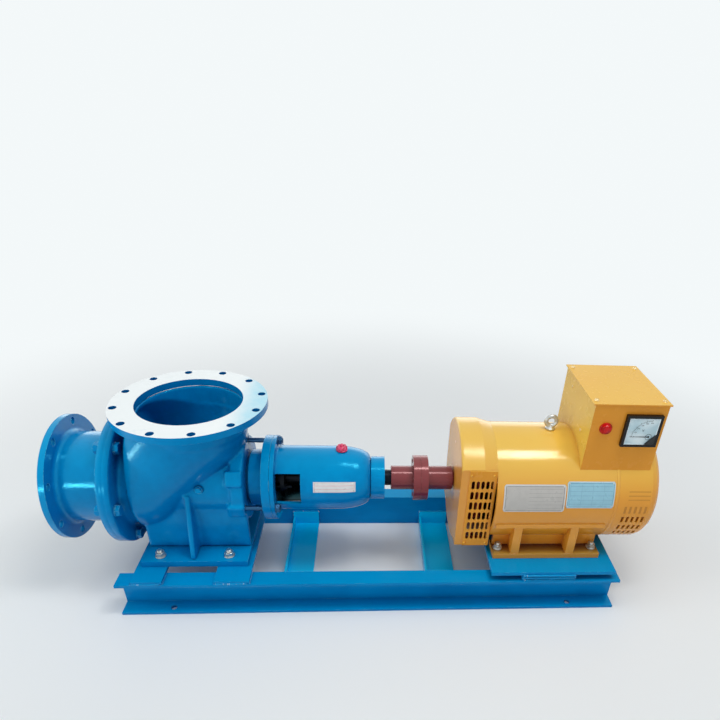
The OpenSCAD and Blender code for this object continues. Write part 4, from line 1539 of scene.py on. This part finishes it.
    def tie_rods(self) -> Piece:
        """Studs that tie the bracket to the casing, with their nuts.

        Returns:
            The new piece.
        """
        shape = Shape()
        start, end = self.stud_ends
        core = self.stud / 2
        for turn, angle in enumerate(self.stud_angles):
            rod = along_shaft(*round_shaft(self.stud_circle, angle, start))
            shank = [(0, 0), (0, core - 0.6), (70, core - 0.6), (72, core - 1.2), (95, core - 1.2)]
            shape.lathe(shank, rod, 24)
            shape.thread(self.stud, 95.0, end - start, rod)
            nut = along_shaft(*round_shaft(self.stud_circle, angle, self.nut_x)) @ spin(turn)
            shape.washer(self.stud, core, 2.0, nut)
            shape.hexagon(24.0, 11.0, nut @ rise_by(2.0))
        return shape.to_object("tie_stud_set")

    def coupling_pins(self) -> Piece:
        """Low heads of the coupling's pins and the ring between its halves, painted over with it.

        Returns:
            The new piece.
        """
        shape = Shape()
        middle = along_shaft(self.coupling_x)
        radius = self.coupling_radius
        shape.lathe([(-1.6, 60.0), (-1.6, radius - 0.9), (-0.6, radius - 0.1), (0.6, radius - 0.1),
                     (1.6, radius - 0.9), (1.6, 60.0)], middle, 96)
        pin = [(-23.0, 0), (-23.0, 7.0), (0.9, 7.0), (1.8, 6.0), (1.8, 3.0), (0.4, 3.0), (0.4, 0)]
        for i in range(6):
            for side in (-1, 1):
                spot = round_shaft(self.pin_circle, 70 - 60 * i, self.coupling_x + side * self.coupling_face)
                shape.lathe(pin, along_shaft(*spot, back=side < 0), 24)
        return shape.to_object("coupling_pin_set")

    def filler_cap(self) -> Piece:
        """The oil filler's knurled cap on its stem.

        Returns:
            The new piece.
        """
        shape = Shape()
        place = upright(*self.cap_place)
        shape.lathe([(-30.0, 0), (-30.0, 7.9), (1.0, 7.9), (1.0, 0)], place, 24)
        shape.lathe([(0.0, 0), (0.0, 16.4), (1.2, 17.6), (3.4, 17.6), (4.6, 16.0), (4.6, 0)], place, 48)
        knurls = [(4.4, 0), (4.4, 14.6), (5.6, 16.4), (12.0, 15.6), (15.0, 13.4), (16.4, 10.0), (15.8, 8.0),
                  (15.8, 0)]
        shape.lathe(knurls, place, 96, knurled(1.3, 8, 12))
        shape.lathe([(14.0, 0), (14.0, 6.0), (19.0, 5.4), (20.6, 3.6), (20.6, 0)], place, 24)
        return shape.to_object("oil_filler_cap", 40)

    def label_rivets(self) -> Piece:
        """Rivets at the corners of the bracket's plate.

        Returns:
            The new piece.
        """
        shape = Shape()
        head = [(0, 0), (0, 1.9), (0.7, 1.6), (1.1, 0.8), (1.2, 0)]
        for x, angle in plate_corners(self.label, self.label_span, self.rivet_inset):
            shape.lathe(head, outward(self.reach(x) + 1.2, angle, x), 16)
        return shape.to_object("label_rivets", 50)


@dataclass
class Alternator:
    """Alternator, its feet, plates and lifting eye."""

    frame_radius: float = 184.0
    seam_x: float = 712.0
    cover_screws: tuple[Pair, ...] = ((273, 449), (340, 449), (273, 196), (340, 196))
    cover_face: float = 153.0
    grey_plate: Pair = (370.0, 556.0)
    grey_span: Pair = (1.0, 28.0)
    pale_plate: Pair = (560.0, 707.0)
    pale_span: Pair = (5.0, 31.0)
    plate_lift: float = 0.2
    plate_thick: float = 1.3
    rivet_inset: Pair = (6.0, 1.9)
    eye_place: Point = (530.0, 0.0, 552.0)
    eye_ring: float = 16.0
    eye_bar: float = 7.0
    foot_bolts: tuple[Pair, ...] = ((384, -145), (691, -145), (384, 145), (691, 145))
    foot_top: float = 170.0
    foot_bolt: BoltSize = BoltSize((15.0, 7.0, 2.6), (22.0, 11.5), 14.0, 21.0)

    @property
    def plate_places(self) -> tuple[tuple[Pair, Pair], ...]:
        """Ends on X and angles of the two plates."""
        return (self.grey_plate, self.grey_span), (self.pale_plate, self.pale_span)

    def build(self, shop: Workshop) -> None:
        """Dresses the alternator and adds its finer pieces.

        Args:
            shop: The workshop that takes the pieces in.
        """
        shop.dress(["alternator_frame", "alternator_foot_front", "alternator_foot_rear"], Finish.OCHRE_CAST)
        shop.dress(["drive_end_shield"], Finish.OCHRE_SHIELD)
        shop.dress(["rear_end_shield"], Finish.OCHRE_REAR)
        shop.dress(["louvre_cover_front", "louvre_cover_rear"], Finish.OCHRE_SHEET)
        grey = BarePlate(srgb(186, 184, 180), srgb(96, 94, 96), self.grey_plate, (343, 426), 7, 1, 0.40)
        pale = BarePlate(srgb(146, 196, 214), srgb(64, 110, 150), self.pale_plate, (356, 435), 6, 4, 0.06)
        shop.take(self.plates(), (grey.make("grey_plate"), pale.make("pale_plate")),
                  replaces=["rating_plates"])
        shop.take(self.rivets(), Finish.ZINC)
        shop.take(self.seam(), Finish.OCHRE_CAST)
        shop.take(self.cover_screw_set(), Finish.OCHRE_SHEET)
        shop.take(self.eye(), Finish.ZINC, replaces=["lifting_eye"])
        shop.take(self.foot_bolting(), Finish.ZINC, replaces=["alternator_foot_bolts"])

    def plates(self) -> Piece:
        """The two blank plates on the frame's front, with round corners.

        Returns:
            The new piece.
        """
        shape = Shape()
        for index, (along, span) in enumerate(self.plate_places):
            shape.curved_plate(along, span, self.frame_radius + self.plate_lift, self.plate_thick, index)
        return shape.to_object("rating_plate_pair", 50)

    def rivets(self) -> Piece:
        """Rivets at the corners of the two plates.

        Returns:
            The new piece.
        """
        shape = Shape()
        head = [(0, 0), (0, 2.4), (0.8, 2.1), (1.4, 1.1), (1.5, 0)]
        for along, span in self.plate_places:
            for x, angle in plate_corners(along, span, self.rivet_inset):
                shape.lathe(head, outward(self.frame_radius + self.plate_lift + 1.2, angle, x), 18)
        return shape.to_object("plate_rivets", 50)

    def seam(self) -> Piece:
        """The edge where the rear shield laps over the frame.

        Returns:
            The new piece.
        """
        radius = self.frame_radius
        profile = [(0.0, radius - 1.0), (0.0, radius + 0.5), (0.8, radius + 1.0), (7.0, radius + 0.9),
                   (10.0, radius + 0.2), (10.0, radius - 1.0), (0.0, radius - 1.0)]
        return Shape().lathe(profile, along_shaft(self.seam_x), 144).to_object("rear_shield_lip", 40)

    def cover_screw_set(self) -> Piece:
        """Painted screws at the corners of the louvre covers, front and rear.

        Returns:
            The new piece.
        """
        shape = Shape()
        for x, z in self.cover_screws:
            for back in (False, True):
                place = facing_front(x, -self.cover_face, z)
                if back:
                    place = spin(math.pi) @ facing_front(-x, -self.cover_face, z)
                shape.washer(5.4, 2.0, 0.8, place)
                shape.socket_screw(4.2, 3.0, place @ rise_by(0.7))
        return shape.to_object("louvre_cover_screws", 45)

    def eye(self) -> Piece:
        """Forged lifting eye with its collar and shank.

        Returns:
            The new piece.
        """
        shape = Shape()
        x, y, z = self.eye_place
        shape.hoop(self.eye_ring, self.eye_bar - 0.6, facing_front(x, y, z), 1.12)
        base = upright(x, y, z - 28)
        shape.lathe([(-12.0, 0), (-12.0, 7.6), (0.0, 7.8), (0.0, 14.0), (1.2, 15.0), (5.0, 15.0), (7.0, 13.2),
                     (9.5, 10.0), (13.0, 8.6), (15.5, 0)], base, 48)
        return shape.to_object("lifting_eye_bolt", 40)

    def foot_bolting(self) -> Piece:
        """The four foot bolts with washers and nuts.

        Returns:
            The new piece.
        """
        shape = Shape()
        for turn, (x, y) in enumerate(self.foot_bolts):
            shape.standing_bolt(self.foot_bolt, upright(x, y, self.foot_top) @ spin(0.7 * turn + 0.3))
        return shape.to_object("alternator_bolt_set")


@dataclass
class ControlBox:
    """Control box with its lid, lamp and voltmeter."""

    front: float = -137.0
    left: float = 598.0
    lid_top: float = 680.0
    lid_screws: tuple[Pair, ...] = ((606, -115), (806, -115), (606, 115), (806, 115))
    side_screws: tuple[Pair, ...] = ((-70, 561), (61, 641))
    lamp_place: Pair = (642.0, 604.0)
    lamp_radius: float = 18.0
    dial_box: Box = (702.0, 558.0, 792.0, 642.0)
    dial_floor: float = -146.0
    pivot: Pair = (770.0, 583.0)
    scale_radius: float = 50.0
    needle_length: float = 56.0
    marks: int = 40
    mark_depth: float = 0.15
    window_gap: float = 0.6
    mask_size: Pair = (30.0, 34.0)
    rim_width: float = 2.4

    def build(self, shop: Workshop) -> None:
        """Dresses the control box and adds screws, lamp and dial.

        Args:
            shop: The workshop that takes the pieces in.
        """
        shop.dress(["control_box", "control_box_lid"], Finish.OCHRE_SHEET)
        shop.dress(["voltmeter"], Finish.BLACK)
        shop.take(self.screws(), Finish.PALE_SCREW)
        shop.take(self.lamp(), Finish.RED_LAMP, replaces=["indicator_lamp"])
        shop.take(self.dial(), (DialFace().make("dial_face"),))
        shop.take(self.dial_marks(), Finish.BLACK)
        shop.take(self.dial_mask(), Finish.BLACK)
        shop.take(self.window_rim(), Finish.WINDOW_RIM)

    def screws(self) -> Piece:
        """Screws of the lid and of the box's sides.

        Returns:
            The new piece.
        """
        shape = Shape()
        for x, y in self.lid_screws:
            place = upright(x, y, self.lid_top)
            shape.washer(7.0, 2.0, 1.0, place).socket_screw(5.6, 4.0, place @ rise_by(0.9))
        for y, z in self.side_screws:
            shape.socket_screw(4.4, 2.6, along_shaft(self.left, y, z, back=True))
        return shape.to_object("control_box_screws", 45)

    def lamp(self) -> Piece:
        """Indicator lamp: knurled collar and domed lens with rings.

        Returns:
            The new piece.
        """
        shape = Shape()
        x, z = self.lamp_place
        place = facing_front(x, self.front, z)
        radius = self.lamp_radius
        shape.lathe([(-20.0, 0), (-20.0, 10.6), (0.5, 10.6), (0.5, 0)], place, 32)
        collar = [(0.0, 0), (0.0, radius), (4.0, radius), (5.4, radius - 1.4), (5.4, radius - 3.4), (3.4, 0)]
        shape.lathe(collar, place, 120, knurled(0.45, 30, 17))
        lens = [(3.0, 0), (3.0, radius - 3.2), (9.0, radius - 3.2), (11.0, radius - 4.2)]
        for k in range(1, 7):
            turn = math.radians(15 * k)
            lens.append((11.0 + 4.6 * math.sin(turn), (radius - 4.6) * math.cos(turn) if k < 6 else 0.0))
            if k < 5:
                lens.append((10.6 + 4.6 * math.sin(turn), (radius - 5.3) * math.cos(turn)))
        return shape.lathe(lens, place, 64).to_object("indicator_lens", 40)

    def dial(self) -> Piece:
        """The voltmeter's face, laid in its case.

        Returns:
            The new piece.
        """
        x0, z0, x1, z1 = self.dial_box
        middle = facing_front((x0 + x1) / 2, self.dial_floor + 0.1, (z0 + z1) / 2)
        half_x, half_z = (x1 - x0) / 2 - 0.2, (z1 - z0) / 2 - 0.2
        outline = [(-half_x, -half_z), (half_x, -half_z), (half_x, half_z), (-half_x, half_z)]
        return Shape().slab(outline, 0.9, middle, 0.3).to_object("voltmeter_face")

    def dial_marks(self) -> Piece:
        """Scale, figures and needle on the voltmeter's face.

        Returns:
            The new piece.
        """
        shape = Shape()
        px, pz = self.pivot
        place = facing_front(px, self.dial_floor - 0.75, pz)
        reach = self.scale_radius

        def stroke(angle: float, start: float, end: float, width: float) -> None:
            """Adds one tick across the scale.

            Args:
                angle: Its angle.
                start: Its inner radius.
                end: Its outer radius.
                width: Its width.
            """
            out = Vector((-math.cos(angle), math.sin(angle)))
            side = Vector((-out.y, out.x)) * width / 2
            low, high = out * start, out * end
            corners = [tuple(p) for p in (low - side, high - side, high + side, low + side)]
            shape.slab(corners, self.mark_depth, place)

        sweep = math.radians(90)
        for i in range(self.marks + 1):
            long = i % 8 == 0
            stroke(sweep * i / self.marks, reach, reach + (5.5 if long else 3.0), 0.7 if long else 0.35)
        for i in range(self.marks):
            a, b = sweep * i / self.marks, sweep * (i + 1) / self.marks
            ends = [(reach * -math.cos(t), reach * math.sin(t)) for t in (a, b)]
            outer = [((reach + 0.5) * -math.cos(t), (reach + 0.5) * math.sin(t)) for t in (b, a)]
            shape.slab(ends + outer, self.mark_depth, place)
        for i in range(6):
            angle = sweep * i / 5
            spot = Vector((-math.cos(angle), math.sin(angle), 0)) * (reach - 6.0) + Vector((0, 0.6, 0))
            shape.text(str(100 * i), 5.6, place @ Matrix.Translation(spot))
        shape.text("V", 11.0, place @ Matrix.Translation((-20.0, 20.0, 0)))
        length = self.needle_length
        shape.slab([(2.0, -1.1), (2.0, 1.1), (-length, 0.35), (-length, -0.35)][::-1], 0.35,
                   place @ rise_by(1.2))
        shape.lathe([(0.0, 0), (0.0, 2.6), (1.8, 2.6), (2.2, 2.0), (2.2, 0)], place, 32)
        shape.lathe([(0.0, 8.6), (0.6, 8.6), (0.6, 9.4), (0.0, 9.4), (0.0, 8.6)], place, 48)
        return shape.to_object("voltmeter_scale", 40)

    def dial_mask(self) -> Piece:
        """The dark corner of the voltmeter's window, over the movement.

        Returns:
            The new piece.
        """
        shape = Shape()
        _, z0, x1, _ = self.dial_box
        width, height = self.mask_size
        place = facing_front(0.0, self.dial_floor - self.window_gap, 0.0)
        shape.slab([(x1 - width, z0 + 0.3), (x1 - 0.3, z0 + 0.3), (x1 - 0.3, z0 + height)], 2.4, place, 0.4)
        return shape.to_object("voltmeter_corner", 40)

    def window_rim(self) -> Piece:
        """A pale piece painted as the highlight on the bevelled edge of the voltmeter's window.

        Returns:
            The new piece.
        """
        shape = Shape()
        x0, z0, x1, z1 = self.dial_box
        place = facing_front(0.0, self.dial_floor - self.window_gap, 0.0)
        wide = self.rim_width
        for outline in ([(x0, z0), (x1, z0), (x1 - wide, z0 + wide), (x0 + wide, z0 + wide)],
                        [(x1, z0), (x1, z1), (x1 - wide, z1 - wide), (x1 - wide, z0 + wide)],
                        [(x1, z1), (x0, z1), (x0 + wide, z1 - wide), (x1 - wide, z1 - wide)],
                        [(x0, z1), (x0, z0), (x0 + wide, z0 + wide), (x0 + wide, z1 - wide)]):
            shape.slab(outline, 1.6, place, 0.3)
        return shape.to_object("voltmeter_window_rim", 40)


def main() -> None:
    """Loads the frame, dresses it and adds camera, lamps and floor."""
    logging.basicConfig(level=logging.INFO, format="%(name)s %(message)s")
    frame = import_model()
    PhotoCamera().build()
    Studio().build()
    shop = Workshop(frame)
    for assembly in (Skid(), Turbine(), DriveLine(), Alternator(), ControlBox()):
        LOG.info("building %s", type(assembly).__name__)
        assembly.build(shop)


if __name__ == "__main__":
    main()
